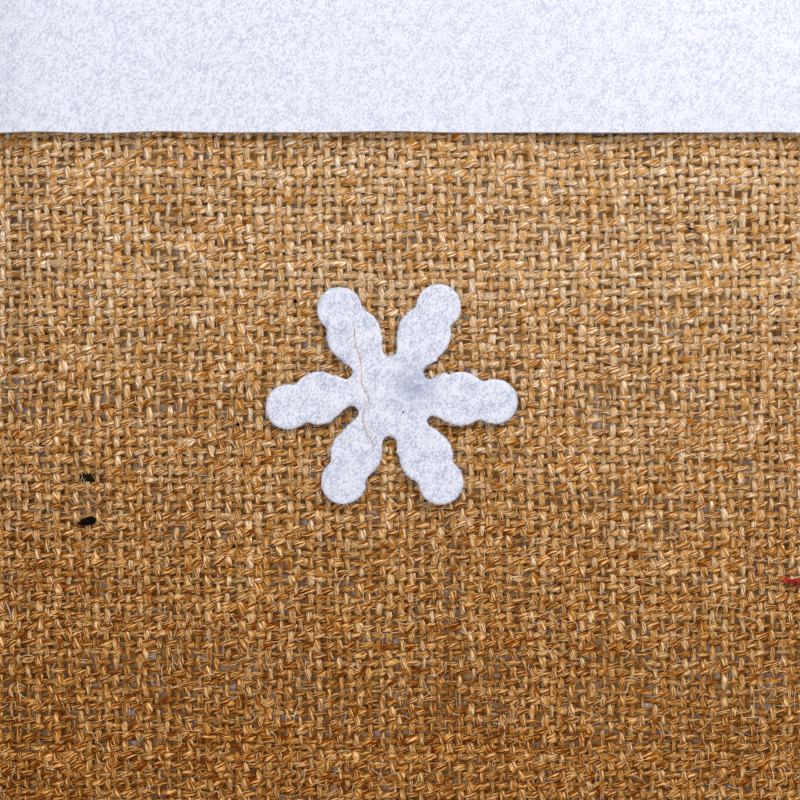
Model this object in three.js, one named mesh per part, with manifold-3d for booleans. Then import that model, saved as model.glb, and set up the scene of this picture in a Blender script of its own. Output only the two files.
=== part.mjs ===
// A hanging Christmas stocking sewn from burlap: two outer panels with a cotton lining, a felt cuff
// turned down over the mouth, a felt snowflake on the leg, red yarn whip stitches round the edge and a
// knotted loop of jute twine. Millimetres, +Z up. The origin is the point of the loop that rests on the
// hook; the front of the stocking faces -Y and its toe points to -X.
import * as THREE from 'three';
import { mergeVertices } from 'three/addons/utils/BufferGeometryUtils.js';
import Module from 'manifold-3d';

// ---- Driving dimensions ----

const CLEARANCE = 0.3;

// Twine loop, its knot and its sewn-in ends.
const TWINE_D = 3.2;
const BIGHT_R = 10.5;
const STRAND_X = 1.8;
const LOOP_FOOT_Z = -60;
const KNOT_Z = -66;
const KNOT_R = 5.6;
const END_TOP_Z = -72.2;
const END_BOTTOM_Z = -114;

// Outline of the burlap panels, measured from the middle of the leg.
const BODY_X = 16;
const MOUTH_Z = -80;
const PANEL_TOP_Z = -82.2;
const LEG_HALF = 98;
const INSTEP_Z = -300;
const INSTEP_R = 70;
const INSTEP_TURN = Math.PI / 3;
const TOE_R = 52;
const HEEL_R = 75;
const SOLE_Z = -480;

// Layers, from the inside of the stocking outwards, and how far each panel bulges.
const SEAM_GAP = 0.2;
const BULGE = 5;
const BULGE_RUN = 20;
const LINING_T = 0.8;
const LINING_INSET = 5;
const BURLAP_T = 2;

// Felt cuff.
const CUFF_H = 80;
const CUFF_T = 1.6;
const CUFF_HALF = 105;
const CUFF_SEAM_GAP = 0.7;
const CUFF_BULGE = 7.9;
const CUFF_BULGE_POWER = 0.75;
const CUFF_RUN = 24;

// Felt snowflake: a hub with six arms of two round lobes each, and a slot with a round end between arms.
const FLAKE_X = -2.3;
const FLAKE_Z = -222;
const FLAKE_T = 1.1;
const FLAKE_TURN = 1.5 * Math.PI / 180;
const FLAKE_ARMS = 6;
const HUB_R = 13.5;
const SLOT_AT = 10.45;
const SLOT_HALF = 1.65;
const INNER_LOBE_AT = 16;
const INNER_LOBE_R = 6.1;
const WAIST_HALF = 4.6;
const OUTER_LOBE_AT = 23.4;
const OUTER_LOBE_R = 5.1;
const LOBE_SIDES = 20;

// Red yarn whip stitches over the edges, and the tacks that hold the twine.
const YARN_D = 1.4;
const STITCH_STEP = 12;
const STITCH_BITE = 5.5;
const STITCH_LIFT = 0.8;
const YARN_SIDES = 5;
const TACK_D = 1;
const TACK_UP = 8;
const TACK_STEP = 9;

// Resolution of the grids: columns are closer together near the edges, where the cloth curves.
const HALF_COLUMNS = [0, 0.02, 0.045, 0.075, 0.11, 0.2];
const COLUMNS = [...HALF_COLUMNS, 0.5, ...HALF_COLUMNS.map((s) => 1 - s).reverse()];
const FOOT_ROWS = 20;

// ---- Materials ----

const burlap = new THREE.MeshStandardMaterial({ color: 0xaa8053, roughness: 0.95, metalness: 0 });
const cotton = new THREE.MeshStandardMaterial({ color: 0xe4dfd6, roughness: 0.9, metalness: 0 });
const felt = new THREE.MeshStandardMaterial({ color: 0xd6daeb, roughness: 0.95, metalness: 0 });
const yarn = new THREE.MeshStandardMaterial({ color: 0xb3201f, roughness: 0.85, metalness: 0 });
const twine = new THREE.MeshStandardMaterial({ color: 0x9a7144, roughness: 0.95, metalness: 0 });

// ---- Outline of the stocking ----

const TOE_Z = SOLE_Z + TOE_R;
const HEEL_Z = SOLE_Z + HEEL_R;
const HEEL_X = LEG_HALF - HEEL_R;
const ARC_END_Z = INSTEP_Z - INSTEP_R * Math.sin(INSTEP_TURN);
const ARC_END_X = -LEG_HALF - INSTEP_R + INSTEP_R * Math.cos(INSTEP_TURN);
const RUN_END_Z = TOE_Z + TOE_R * Math.sin(INSTEP_TURN);
const RUN_END_X = ARC_END_X - (ARC_END_Z - RUN_END_Z) * Math.tan(INSTEP_TURN);
const TOE_X = RUN_END_X + TOE_R * Math.cos(INSTEP_TURN);

const chord = (radius, offset) => Math.sqrt(Math.max(radius ** 2 - offset ** 2, 0));

// The edge on the toe's side: straight leg, hollow instep, straight run and round toe.
function toeEdge(z) {
  if (z >= INSTEP_Z) return -LEG_HALF;
  if (z >= ARC_END_Z) return -LEG_HALF - INSTEP_R + chord(INSTEP_R, INSTEP_Z - z);
  if (z >= RUN_END_Z) return ARC_END_X - (ARC_END_Z - z) * Math.tan(INSTEP_TURN);
  return TOE_X - chord(TOE_R, z - TOE_Z);
}

// The edge on the heel's side: straight leg and round heel.
function heelEdge(z) {
  return z >= HEEL_Z ? LEG_HALF : HEEL_X + chord(HEEL_R, z - HEEL_Z);
}

// An outline moved inwards by inset, as the pair of its edges at height z and its lowest level.
function outline(inset) {
  const floor = SOLE_Z + inset;
  const stretch = (HEEL_Z - SOLE_Z) / (HEEL_Z - floor);
  const level = (z) => (z >= HEEL_Z ? z : HEEL_Z + (z - HEEL_Z) * stretch);
  return {
    floor,
    left: (z) => toeEdge(level(z)) + inset,
    right: (z) => heelEdge(level(z)) - inset,
  };
}

const panelOutline = outline(0);
const liningOutline = outline(LINING_INSET);

// ---- Bulge ----

function rise(distance, run) {
  return Math.sin((Math.PI / 2) * Math.min(Math.max(distance, 0) / run, 1));
}

// Half the gap between the two linings at a point, growing from the seam towards the middle.
function hollow(shape, x, z) {
  const side = Math.min(x - shape.left(z), shape.right(z) - x);
  return SEAM_GAP + BULGE * rise(side, BULGE_RUN) * rise(z - shape.floor, BULGE_RUN);
}

const PANEL_IN = LINING_T + CLEARANCE;
const PANEL_OUT = PANEL_IN + BURLAP_T;
const panelFace = (x, z) => hollow(panelOutline, x, z) + PANEL_OUT;

function cuffHollow(x) {
  return CUFF_SEAM_GAP + CUFF_BULGE * rise(CUFF_HALF - Math.abs(x), CUFF_RUN) ** CUFF_BULGE_POWER;
}

function lipHollow(x) {
  return hollow(liningOutline, x, MOUTH_Z);
}

// ---- Closed meshes ----

function meshFrom(positions, index) {
  const geometry = new THREE.BufferGeometry();
  geometry.setAttribute('position', new THREE.Float32BufferAttribute(positions, 3));
  geometry.setIndex(index);
  return geometry;
}

// A closed slab over a grid of (x, z) points, between the depths nearY and farY at each point.
function slab(rows, nearY, farY) {
  const height = rows.length;
  const width = rows[0].length;
  const positions = [];
  for (const depth of [nearY, farY]) {
    rows.flat().forEach(([x, z]) => positions.push(x, depth(x, z), z));
  }
  const near = (row, column) => row * width + column;
  const far = (row, column) => height * width + near(row, column);
  const index = [];
  const quad = (a, b, c, d) => index.push(a, b, c, a, c, d);
  for (let row = 0; row < height - 1; row += 1) {
    for (let column = 0; column < width - 1; column += 1) {
      quad(near(row, column), near(row + 1, column), near(row + 1, column + 1), near(row, column + 1));
      quad(far(row, column), far(row, column + 1), far(row + 1, column + 1), far(row + 1, column));
    }
    quad(near(row, 0), far(row, 0), far(row + 1, 0), near(row + 1, 0));
    quad(near(row, width - 1), near(row + 1, width - 1), far(row + 1, width - 1), far(row, width - 1));
  }
  for (let column = 0; column < width - 1; column += 1) {
    quad(near(0, column), near(0, column + 1), far(0, column + 1), far(0, column));
    const last = height - 1;
    quad(near(last, column), far(last, column), far(last, column + 1), near(last, column + 1));
  }
  return meshFrom(positions, index);
}

// A closed bar through rings of points that all have the same number of corners. The first corner of
// each ring has to see all the others, because the two ends are fans from it.
function bar(rings) {
  const corners = rings[0].length;
  const index = [];
  for (let ring = 0; ring < rings.length - 1; ring += 1) {
    for (let corner = 0; corner < corners; corner += 1) {
      const a = ring * corners + corner;
      const b = ring * corners + (corner + 1) % corners;
      index.push(a, b, b + corners, a, b + corners, a + corners);
    }
  }
  const end = (rings.length - 1) * corners;
  for (let corner = 1; corner < corners - 1; corner += 1) {
    index.push(0, corner + 1, corner);
    index.push(end, end + corner, end + corner + 1);
  }
  return meshFrom(rings.flat(2), index);
}

// A round tube through points, drawn as an extruded circle.
function tube(points, diameter, sides, steps) {
  const circle = new THREE.Shape();
  circle.absarc(0, 0, diameter / 2, 0, 2 * Math.PI, false);
  const path = new THREE.CatmullRomCurve3(points, false, 'centripetal');
  const geometry = new THREE.ExtrudeGeometry(circle, { extrudePath: path, steps, curveSegments: sides });
  return merged(geometry);
}

function merged(geometry) {
  geometry.deleteAttribute('normal');
  geometry.deleteAttribute('uv');
  return mergeVertices(geometry, 1e-4);
}

// ---- Joining with manifold-3d ----

const wasm = await Module();
wasm.setup();

function solid(geometry) {
  const vertProperties = Float32Array.from(geometry.attributes.position.array);
  const triVerts = Uint32Array.from(geometry.index.array);
  return new wasm.Manifold(new wasm.Mesh({ numProp: 3, vertProperties, triVerts }));
}

function joined(added, removed) {
  const whole = added.map(solid).reduce((sum, part) => sum.add(part));
  const mesh = removed.map(solid).reduce((rest, part) => rest.subtract(part), whole).getMesh();
  return meshFrom(Array.from(mesh.vertProperties), Array.from(mesh.triVerts));
}

// ---- Panels and lining ----

// Rows of (x, z) points across an outline, one tall row on the straight leg and closer ones in the foot.
function rowsOf(shape, top) {
  const levels = [top, INSTEP_Z];
  for (let row = 1; row <= FOOT_ROWS; row += 1) {
    const share = Math.sin((Math.PI / 2) * (row / FOOT_ROWS));
    levels.push(INSTEP_Z + (shape.floor - INSTEP_Z) * share);
  }
  return levels.map((z) => COLUMNS.map((s) => [shape.left(z) + s * (shape.right(z) - shape.left(z)), z]));
}

// side is -1 for the front and +1 for the back.
function layer(shape, inner, thickness, side) {
  const inside = (x, z) => side * (hollow(shape, x, z) + inner);
  const outside = (x, z) => side * (hollow(shape, x, z) + inner + thickness);
  const rows = rowsOf(shape, PANEL_TOP_Z);
  return side < 0 ? slab(rows, outside, inside) : slab(rows, inside, outside);
}

// ---- Cuff ----

// One half of the cuff: a flap down the outside, with a lip that covers the tops of panel and lining.
function cuffHalf(side) {
  const lipZ = MOUTH_Z - CUFF_T;
  const rings = COLUMNS.map((s) => {
    const x = -CUFF_HALF + s * 2 * CUFF_HALF;
    const flapIn = side * cuffHollow(x);
    const flapOut = side * (cuffHollow(x) + CUFF_T);
    const lipIn = side * lipHollow(x);
    const profile = [
      [x, flapIn, lipZ],
      [x, flapIn, MOUTH_Z - CUFF_H],
      [x, flapOut, MOUTH_Z - CUFF_H],
      [x, flapOut, MOUTH_Z],
      [x, lipIn, MOUTH_Z],
      [x, lipIn, lipZ],
    ];
    return side < 0 ? [profile[0], ...profile.slice(1).reverse()] : profile;
  });
  return bar(rings);
}

// ---- Snowflake ----

function disc(x, radius, thickness, sides = LOBE_SIDES) {
  const geometry = new THREE.CylinderGeometry(radius, radius, thickness, sides);
  return merged(geometry.translate(x, 0, 0));
}

function strip(from, to, half, thickness) {
  const geometry = new THREE.BoxGeometry(to - from, thickness, 2 * half);
  return merged(geometry.translate((from + to) / 2, 0, 0));
}

function snowflakeArm(turn) {
  const pieces = [
    disc(INNER_LOBE_AT, INNER_LOBE_R, FLAKE_T),
    strip(INNER_LOBE_AT, OUTER_LOBE_AT, WAIST_HALF, FLAKE_T),
    disc(OUTER_LOBE_AT, OUTER_LOBE_R, FLAKE_T),
  ];
  return pieces.map((piece) => piece.rotateY(turn));
}

function snowflakeSlot(turn) {
  const pieces = [
    disc(SLOT_AT, SLOT_HALF, 2 * FLAKE_T),
    strip(SLOT_AT, OUTER_LOBE_AT, SLOT_HALF, 2 * FLAKE_T),
  ];
  return pieces.map((piece) => piece.rotateY(turn));
}

function snowflake() {
  const added = [disc(0, HUB_R, FLAKE_T, 2 * LOBE_SIDES)];
  const removed = [];
  for (let arm = 0; arm < FLAKE_ARMS; arm += 1) {
    added.push(...snowflakeArm(FLAKE_TURN + (arm / FLAKE_ARMS) * 2 * Math.PI));
    removed.push(...snowflakeSlot(FLAKE_TURN + ((arm + 0.5) / FLAKE_ARMS) * 2 * Math.PI));
  }
  const depth = SEAM_GAP + BULGE + PANEL_OUT + CLEARANCE + FLAKE_T / 2;
  return joined(added, removed).translate(FLAKE_X, -depth, FLAKE_Z);
}

// ---- Whip stitches ----

// Points round the outline below the cuff, from the toe's side down, along the sole and up the heel.
function edgeLine(topZ) {
  const line = [[-LEG_HALF, topZ], [-LEG_HALF, INSTEP_Z]];
  const arc = (x, z, radius, from, to) => {
    const steps = Math.ceil(Math.abs(to - from) / 0.1);
    for (let step = 1; step <= steps; step += 1) {
      const angle = from + ((to - from) * step) / steps;
      line.push([x + radius * Math.cos(angle), z + radius * Math.sin(angle)]);
    }
  };
  arc(-LEG_HALF - INSTEP_R, INSTEP_Z, INSTEP_R, 0, -INSTEP_TURN);
  arc(TOE_X, TOE_Z, TOE_R, Math.PI - INSTEP_TURN, 1.5 * Math.PI);
  arc(HEEL_X, HEEL_Z, HEEL_R, 1.5 * Math.PI, 2 * Math.PI);
  line.push([LEG_HALF, topZ]);
  return line;
}

// Places at equal steps along a line, each with its point and the direction inwards.
function along(line, step) {
  const places = [];
  let next = step / 2;
  let walked = 0;
  for (let i = 0; i < line.length - 1; i += 1) {
    const dx = line[i + 1][0] - line[i][0];
    const dz = line[i + 1][1] - line[i][1];
    const length = Math.hypot(dx, dz);
    for (; next <= walked + length; next += step) {
      const share = (next - walked) / length;
      const point = [line[i][0] + share * dx, line[i][1] + share * dz];
      places.push({ point, inward: [-dz / length, dx / length] });
    }
    walked += length;
  }
  return places;
}

// A yarn through points, with a ring of corners at each point square to the yarn's run.
function yarnTube(points, diameter) {
  const side = new THREE.Vector3(0, 0, 0);
  const rings = points.map((point, i) => {
    const before = points[Math.max(i - 1, 0)];
    const after = points[Math.min(i + 1, points.length - 1)];
    const run = after.clone().sub(before).normalize();
    if (i === 0) side.set(run.y, run.z, run.x);
    side.addScaledVector(run, -side.dot(run)).normalize();
    const up = run.clone().cross(side);
    return Array.from({ length: YARN_SIDES }, (_, corner) => {
      const angle = (2 * Math.PI * corner) / YARN_SIDES;
      const ring = point.clone().addScaledVector(side, (diameter / 2) * Math.cos(angle));
      return ring.addScaledVector(up, (diameter / 2) * Math.sin(angle)).toArray();
    });
  });
  return bar(rings);
}

// The points of one stitch: from a hole in the front, over the edge, to a hole in the back.
function stitchPoints({ point, inward }, face) {
  const lift = YARN_D / 2 + STITCH_LIFT;
  const on = (depthIn, side) => {
    const x = point[0] + depthIn * inward[0];
    const z = point[1] + depthIn * inward[1];
    return new THREE.Vector3(x, side * (face(x, z) + lift), z);
  };
  return [on(STITCH_BITE, -1), on(-lift, -1), on(-lift, 1), on(STITCH_BITE, 1)];
}

// One length of yarn that goes over the edge at each place, forwards and backwards in turn.
function stitches(places, face = panelFace) {
  const turns = places.map((place, i) => {
    const points = stitchPoints(place, face);
    return i % 2 === 0 ? points : points.reverse();
  });
  return yarnTube(turns.flat(), YARN_D);
}

const stitchPlaces = along(edgeLine(MOUTH_Z - CUFF_H - STITCH_STEP / 4), STITCH_STEP);
const onInstepSide = ({ point }) => point[0] < HEEL_X && point[1] > RUN_END_Z;
const onToe = ({ point }) => point[0] < TOE_X && point[1] <= RUN_END_Z;
const onSole = ({ point }) => point[0] >= TOE_X && point[0] <= HEEL_X && point[1] < TOE_Z;
const onHeelSide = ({ point }) => point[0] > HEEL_X;

function cuffStitches(side) {
  const top = MOUTH_Z - STITCH_STEP / 2;
  const bottom = MOUTH_Z - CUFF_H;
  const ends = side < 0 ? [top, bottom] : [bottom, top];
  const places = along(ends.map((z) => [side * CUFF_HALF, z]), STITCH_STEP);
  return stitches(places, (x) => cuffHollow(x) + CUFF_T);
}

// ---- Hanging loop ----

const BIGHT_Z = TWINE_D / 2 - BIGHT_R;
const strandDepth = SEAM_GAP + BULGE - CLEARANCE - TWINE_D / 2;

function loop() {
  const lean = Math.asin((BIGHT_R - STRAND_X) / (BIGHT_Z - LOOP_FOOT_Z));
  const points = [];
  for (const share of [0, 0.35, 0.7]) {
    const x = STRAND_X + share * (BIGHT_R * Math.cos(lean) - STRAND_X);
    points.push(new THREE.Vector3(x, 0, LOOP_FOOT_Z + share * (BIGHT_Z - LOOP_FOOT_Z)));
  }
  const turns = 10;
  for (let turn = 0; turn <= turns; turn += 1) {
    const angle = -lean / 2 + ((Math.PI + lean) * turn) / turns;
    points.push(new THREE.Vector3(BIGHT_R * Math.cos(angle), 0, BIGHT_Z + BIGHT_R * Math.sin(angle)));
  }
  const mirrored = [2, 1, 0].map((i) => new THREE.Vector3(-points[i].x, 0, points[i].z));
  return tube([...points, ...mirrored], TWINE_D, 10, 44);
}

const knot = () => merged(new THREE.SphereGeometry(KNOT_R, 18, 14)).translate(0, 0, KNOT_Z);

// One end of the twine below the knot, which lies against the back lining inside the mouth.
function twineEnd(side) {
  const x = side * STRAND_X;
  return tube([
    new THREE.Vector3(x, 0, END_TOP_Z),
    new THREE.Vector3(x, strandDepth * 0.3, (END_TOP_Z + MOUTH_Z) / 2),
    new THREE.Vector3(x, strandDepth * 0.85, MOUTH_Z),
    new THREE.Vector3(x, strandDepth, MOUTH_Z - 2 * TWINE_D),
    new THREE.Vector3(x, strandDepth, END_BOTTOM_Z),
  ], TWINE_D, 8, 10);
}

// A short stitch across both ends of the twine, which holds them to the back of the mouth.
function tack(number) {
  const y = strandDepth - TWINE_D / 2 - CLEARANCE - TACK_D / 2;
  const reach = STRAND_X + TWINE_D / 2 + CLEARANCE + TACK_D / 2;
  const z = END_BOTTOM_Z + TACK_UP + number * TACK_STEP;
  const corners = [[-reach, strandDepth], [-reach, y], [reach, y], [reach, strandDepth]];
  return yarnTube(corners.map(([x, depth]) => new THREE.Vector3(x, depth, z)), TACK_D);
}

// ---- Assembly ----

const stocking = new THREE.Group();
const hanger = new THREE.Group();
const body = new THREE.Group();
body.position.x = BODY_X;
stocking.add(hanger, body);

function add(group, name, geometry, material) {
  const mesh = new THREE.Mesh(geometry, material);
  mesh.name = name;
  group.add(mesh);
}

add(hanger, 'hanging_loop', loop(), twine);
add(hanger, 'loop_knot', knot(), twine);
add(hanger, 'loop_end_left', twineEnd(-1), twine);
add(hanger, 'loop_end_right', twineEnd(1), twine);
add(hanger, 'loop_tack_lower', tack(0), yarn);
add(hanger, 'loop_tack_upper', tack(1), yarn);

add(body, 'front_panel', layer(panelOutline, PANEL_IN, BURLAP_T, -1), burlap);
add(body, 'back_panel', layer(panelOutline, PANEL_IN, BURLAP_T, 1), burlap);
add(body, 'front_lining', layer(liningOutline, 0, LINING_T, -1), cotton);
add(body, 'back_lining', layer(liningOutline, 0, LINING_T, 1), cotton);
add(body, 'cuff_front', cuffHalf(-1), felt);
add(body, 'cuff_back', cuffHalf(1), felt);
add(body, 'snowflake', snowflake(), felt);

add(body, 'instep_side_stitches', stitches(stitchPlaces.filter(onInstepSide)), yarn);
add(body, 'toe_stitches', stitches(stitchPlaces.filter(onToe)), yarn);
add(body, 'sole_stitches', stitches(stitchPlaces.filter(onSole)), yarn);
add(body, 'heel_side_stitches', stitches(stitchPlaces.filter(onHeelSide)), yarn);
add(body, 'cuff_toe_side_stitches', cuffStitches(-1), yarn);
add(body, 'cuff_heel_side_stitches', cuffStitches(1), yarn);

export default stocking;
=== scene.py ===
# %% [markdown]
# # A burlap stocking, thread by thread
# The stocking is two panels of jute burlap over a cotton lining, with a felt cuff, a felt snowflake,
# red yarn stitches round the edge and a loop of twine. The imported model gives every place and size,
# and each cell here gives one piece its real shape or finish.

# %% Load the frame
import math

import bpy
import numpy as np
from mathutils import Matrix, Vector


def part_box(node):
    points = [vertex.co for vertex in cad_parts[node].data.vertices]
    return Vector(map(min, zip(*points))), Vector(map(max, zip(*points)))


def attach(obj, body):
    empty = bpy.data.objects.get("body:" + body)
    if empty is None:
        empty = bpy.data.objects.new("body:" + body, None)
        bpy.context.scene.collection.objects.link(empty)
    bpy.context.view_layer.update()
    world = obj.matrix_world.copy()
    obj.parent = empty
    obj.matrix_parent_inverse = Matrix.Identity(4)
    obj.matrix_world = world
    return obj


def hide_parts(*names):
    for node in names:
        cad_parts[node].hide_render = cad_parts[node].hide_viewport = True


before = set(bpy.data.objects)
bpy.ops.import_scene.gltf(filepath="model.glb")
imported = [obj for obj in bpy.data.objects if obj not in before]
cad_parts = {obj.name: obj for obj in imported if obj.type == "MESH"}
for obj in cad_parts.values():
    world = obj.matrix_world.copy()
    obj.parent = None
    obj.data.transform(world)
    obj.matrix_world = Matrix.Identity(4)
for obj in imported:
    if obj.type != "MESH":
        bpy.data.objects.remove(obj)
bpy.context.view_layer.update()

# %% [markdown]
# ## Sizes
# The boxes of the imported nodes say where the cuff, the panels and the snowflake are. What a box
# can't tell, such as the radii of the outline, is a named size. All lengths are in metres.

# %% Sizes from the frame
MM = 0.001
cuff_low, cuff_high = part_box("cuff_front")
panel_low, panel_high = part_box("front_panel")
flake_low, flake_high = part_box("snowflake")

MIDDLE_X = (cuff_low.x + cuff_high.x) / 2
CUFF_HALF = (cuff_high.x - cuff_low.x) / 2
MOUTH_Z = cuff_high.z
CUFF_END_Z = cuff_low.z
LEG_HALF = panel_high.x - MIDDLE_X
PANEL_TOP_Z = panel_high.z
SOLE_Z = panel_low.z
FACE = -panel_low.y
FLAKE = (flake_low + flake_high) / 2

SEAM_GAP = 0.2 * MM
LINING_T = 0.8 * MM
LINING_INSET = 5 * MM
BURLAP_T = 2 * MM
PANEL_MID = 2.1 * MM
BULGE = FACE - SEAM_GAP - PANEL_MID - BURLAP_T / 2
BULGE_RUN = 20 * MM
INSTEP_Z = SOLE_Z + 180 * MM
INSTEP_R = 70 * MM
INSTEP_TURN = math.pi / 3
TOE_R = 52 * MM
HEEL_R = 75 * MM
print("leg half width %.3f, sole at %.3f, bulge %.4f" % (LEG_HALF, SOLE_Z, BULGE))

# %% [markdown]
# ## Camera
# Everything made later is judged from the front, square on to the snowflake, so the camera comes
# first. A long lens, close enough that the leg fills the view from side to side, shows the cloth
# with almost no perspective.

# %% Camera
LENS = 85
VIEW_WIDTH = 183.2 * MM
SENSOR = 36
CAMERA_AWAY = VIEW_WIDTH * LENS / SENSOR
CAMERA_SIDE = 2.0 * MM
CAMERA_DROP = -1.0 * MM

camera = bpy.data.objects.new("camera", bpy.data.cameras.new("camera"))
bpy.context.scene.collection.objects.link(camera)
camera.data.lens = LENS
camera.data.sensor_width = SENSOR
camera.data.clip_start = 0.01
camera.location = (FLAKE.x + CAMERA_SIDE, -FACE - CAMERA_AWAY, FLAKE.z + CAMERA_DROP)
camera.rotation_euler = (math.pi / 2, 0, 0)
bpy.context.scene.camera = camera
print("camera is %.3f m from the cloth" % CAMERA_AWAY)

# %% [markdown]
# ## Floor and light
# The stocking hangs above a pale floor. One small strong light stands up and to the right, so that
# each thread has a bright side and a dark side, and a wide weak one fills the shadows. A few
# helpers come first: they add a light or a material and set the inputs of a node by name.

# %% Helpers for materials and lights
def deselect():
    bpy.ops.object.select_all(action="DESELECT")


def set_inputs(node, **values):
    for name, value in values.items():
        node.inputs[name.replace("_", " ")].default_value = value


def new_material(name, roughness=0.9, specular=0.3):
    material = bpy.data.materials.new(name)
    material.use_nodes = True
    shader = material.node_tree.nodes["Principled BSDF"]
    set_inputs(shader, Roughness=roughness, Specular_IOR_Level=specular)
    return material, material.node_tree, shader


def area_light(name, place, aim, size, power, colour):
    lamp = bpy.data.lights.new(name, "AREA")
    lamp.shape = "SQUARE"
    lamp.size = size
    lamp.energy = power
    lamp.color = colour
    holder = bpy.data.objects.new(name, lamp)
    bpy.context.scene.collection.objects.link(holder)
    holder.location = place
    direction = Vector(aim) - Vector(place)
    holder.rotation_euler = direction.to_track_quat("-Z", "Y").to_euler()


# %% [markdown]
# The floor is one large plane a little below the foot, with a faint mottle, so that it is never a
# flat tone.

# %% Floor
FLOOR_GAP = 30 * MM
FLOOR_SIZE = 60
deselect()
bpy.ops.mesh.primitive_plane_add(size=FLOOR_SIZE, location=(MIDDLE_X, 0, SOLE_Z - FLOOR_GAP))
floor = bpy.context.object
floor.name = "floor"
floor_material, floor_tree, floor_shader = new_material("pale_floor")
floor_noise = floor_tree.nodes.new("ShaderNodeTexNoise")
floor_ramp = floor_tree.nodes.new("ShaderNodeValToRGB")
floor_ramp.color_ramp.elements[0].color = (0.74, 0.73, 0.72, 1)
floor_ramp.color_ramp.elements[1].color = (0.80, 0.79, 0.78, 1)
floor_tree.links.new(floor_noise.outputs["Fac"], floor_ramp.inputs["Fac"])
floor_tree.links.new(floor_ramp.outputs["Color"], floor_shader.inputs["Base Color"])
floor.data.materials.append(floor_material)

# %% [markdown]
# The key is small and strong, because coarse cloth needs shadows. The fill is wide and weak, the back
# fill lights the other side, and the world gives what is left.

# %% Lights
target = (MIDDLE_X, 0, FLAKE.z)
area_light("key", (MIDDLE_X + 0.26, -0.42, FLAKE.z + 0.46), target, 0.2, 3.6, (1.0, 0.97, 0.94))
area_light("fill", (MIDDLE_X - 0.5, -0.9, FLAKE.z + 0.1), target, 1.0, 4.3, (1.0, 0.98, 0.96))
area_light("back_fill", (MIDDLE_X - 0.3, 0.9, FLAKE.z + 0.4), target, 0.8, 5.0, (1.0, 0.98, 0.96))

world = bpy.data.worlds.new("studio")
world.use_nodes = True
set_inputs(world.node_tree.nodes["Background"], Color=(1.0, 0.98, 0.96, 1), Strength=0.46)
bpy.context.scene.world = world
bpy.context.scene.view_settings.view_transform = "Standard"

# %% [markdown]
# ## The outline
# Both panels are cut to one outline: a straight leg, a hollow instep, a straight run to a round
# toe, a flat sole and a round heel. Two functions give its left and right edge at any height, and
# everything sewn round the stocking asks them.

# %% Outline of the panels
TOE_Z = SOLE_Z + TOE_R
HEEL_Z = SOLE_Z + HEEL_R
HEEL_X = LEG_HALF - HEEL_R
ARC_END_Z = INSTEP_Z - INSTEP_R * math.sin(INSTEP_TURN)
ARC_END_X = -LEG_HALF - INSTEP_R + INSTEP_R * math.cos(INSTEP_TURN)
RUN_END_Z = TOE_Z + TOE_R * math.sin(INSTEP_TURN)
RUN_END_X = ARC_END_X - (ARC_END_Z - RUN_END_Z) * math.tan(INSTEP_TURN)
TOE_X = RUN_END_X + TOE_R * math.cos(INSTEP_TURN)


def chord(radius, offset):
    return np.sqrt(np.maximum(radius**2 - offset**2, 0))


def toe_edge(z):
    arc = -LEG_HALF - INSTEP_R + chord(INSTEP_R, INSTEP_Z - z)
    run = ARC_END_X - (ARC_END_Z - z) * math.tan(INSTEP_TURN)
    toe = TOE_X - chord(TOE_R, z - TOE_Z)
    return np.select([z >= INSTEP_Z, z >= ARC_END_Z, z >= RUN_END_Z], [-LEG_HALF, arc, run], toe)


def heel_edge(z):
    return np.where(z >= HEEL_Z, LEG_HALF, HEEL_X + chord(HEEL_R, z - HEEL_Z))


def rise(distance, run):
    return np.sin(np.pi / 2 * np.clip(distance / run, 0, 1))


def edge_distance(u, z, inset=0.0):
    return np.minimum(u - toe_edge(z), heel_edge(z) - u) - inset


def hollow(u, z, inset=0.0):
    side = rise(edge_distance(u, z, inset), BULGE_RUN)
    return SEAM_GAP + BULGE * side * rise(z - SOLE_Z - inset, BULGE_RUN)


def flat_area(top, bottom, inset=0.0):
    z = np.linspace(top, bottom, 400)
    return float(np.mean(heel_edge(z) - toe_edge(z) - 2 * inset) * (top - bottom))


panel_area = flat_area(PANEL_TOP_Z, SOLE_Z)
print("one panel is cut from %.4f m2 of burlap" % panel_area)

# %% [markdown]
# ## Threads as meshes
# Burlap, twine, yarn and loose fibres are all long thin runs with a round or oval section. One
# function makes many closed tubes at once, as a single mesh. Modelling them by hand would take
# thousands of extrudes, so this is mesh code: rings of points round each run, faces between the
# rings and a cap on each end. Each tube gets a UV map, with U along the run and V round it, and
# point values for its tone, how high it stands in the cloth, its warmth and its stains. U starts
# further on for each tube, so that no two have the same fibres.

# %% The tube builder
POINT_VALUES = ("tone", "crest", "warm", "stain")
UV_LENGTH = 10 * MM
UV_APART = 7.3


def unit(vectors):
    return vectors / np.maximum(np.linalg.norm(vectors, axis=-1, keepdims=True), 1e-12)


class Run:
    """One thread: its centre line, the direction that its flat top faces, its half sizes and values."""

    def __init__(self, centre, up, half_width, half_thick, **values):
        self.centre = np.asarray(centre, float)
        count = len(self.centre)
        along = unit(np.gradient(self.centre, axis=0))
        up = np.broadcast_to(np.asarray(up, float), self.centre.shape)
        self.up = unit(up - along * np.sum(up * along, axis=1, keepdims=True))
        self.side = np.cross(self.up, along)
        self.half_width = np.broadcast_to(half_width, count)
        self.half_thick = np.broadcast_to(half_thick, count)
        self.values = {name: np.broadcast_to(values.get(name, 0.0), count) for name in POINT_VALUES}
        self.lift = values.get("lift")
        self.rough = values.get("rough", 0.0)

    def ring_points(self, angles):
        wide = self.side[:, None] * (self.half_width[:, None] * np.cos(angles))[..., None]
        thick = self.up[:, None] * (self.half_thick[:, None] * np.sin(angles))[..., None]
        return self.centre[:, None] + (wide + thick) * (1 + np.asarray(self.rough)[..., None])


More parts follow.
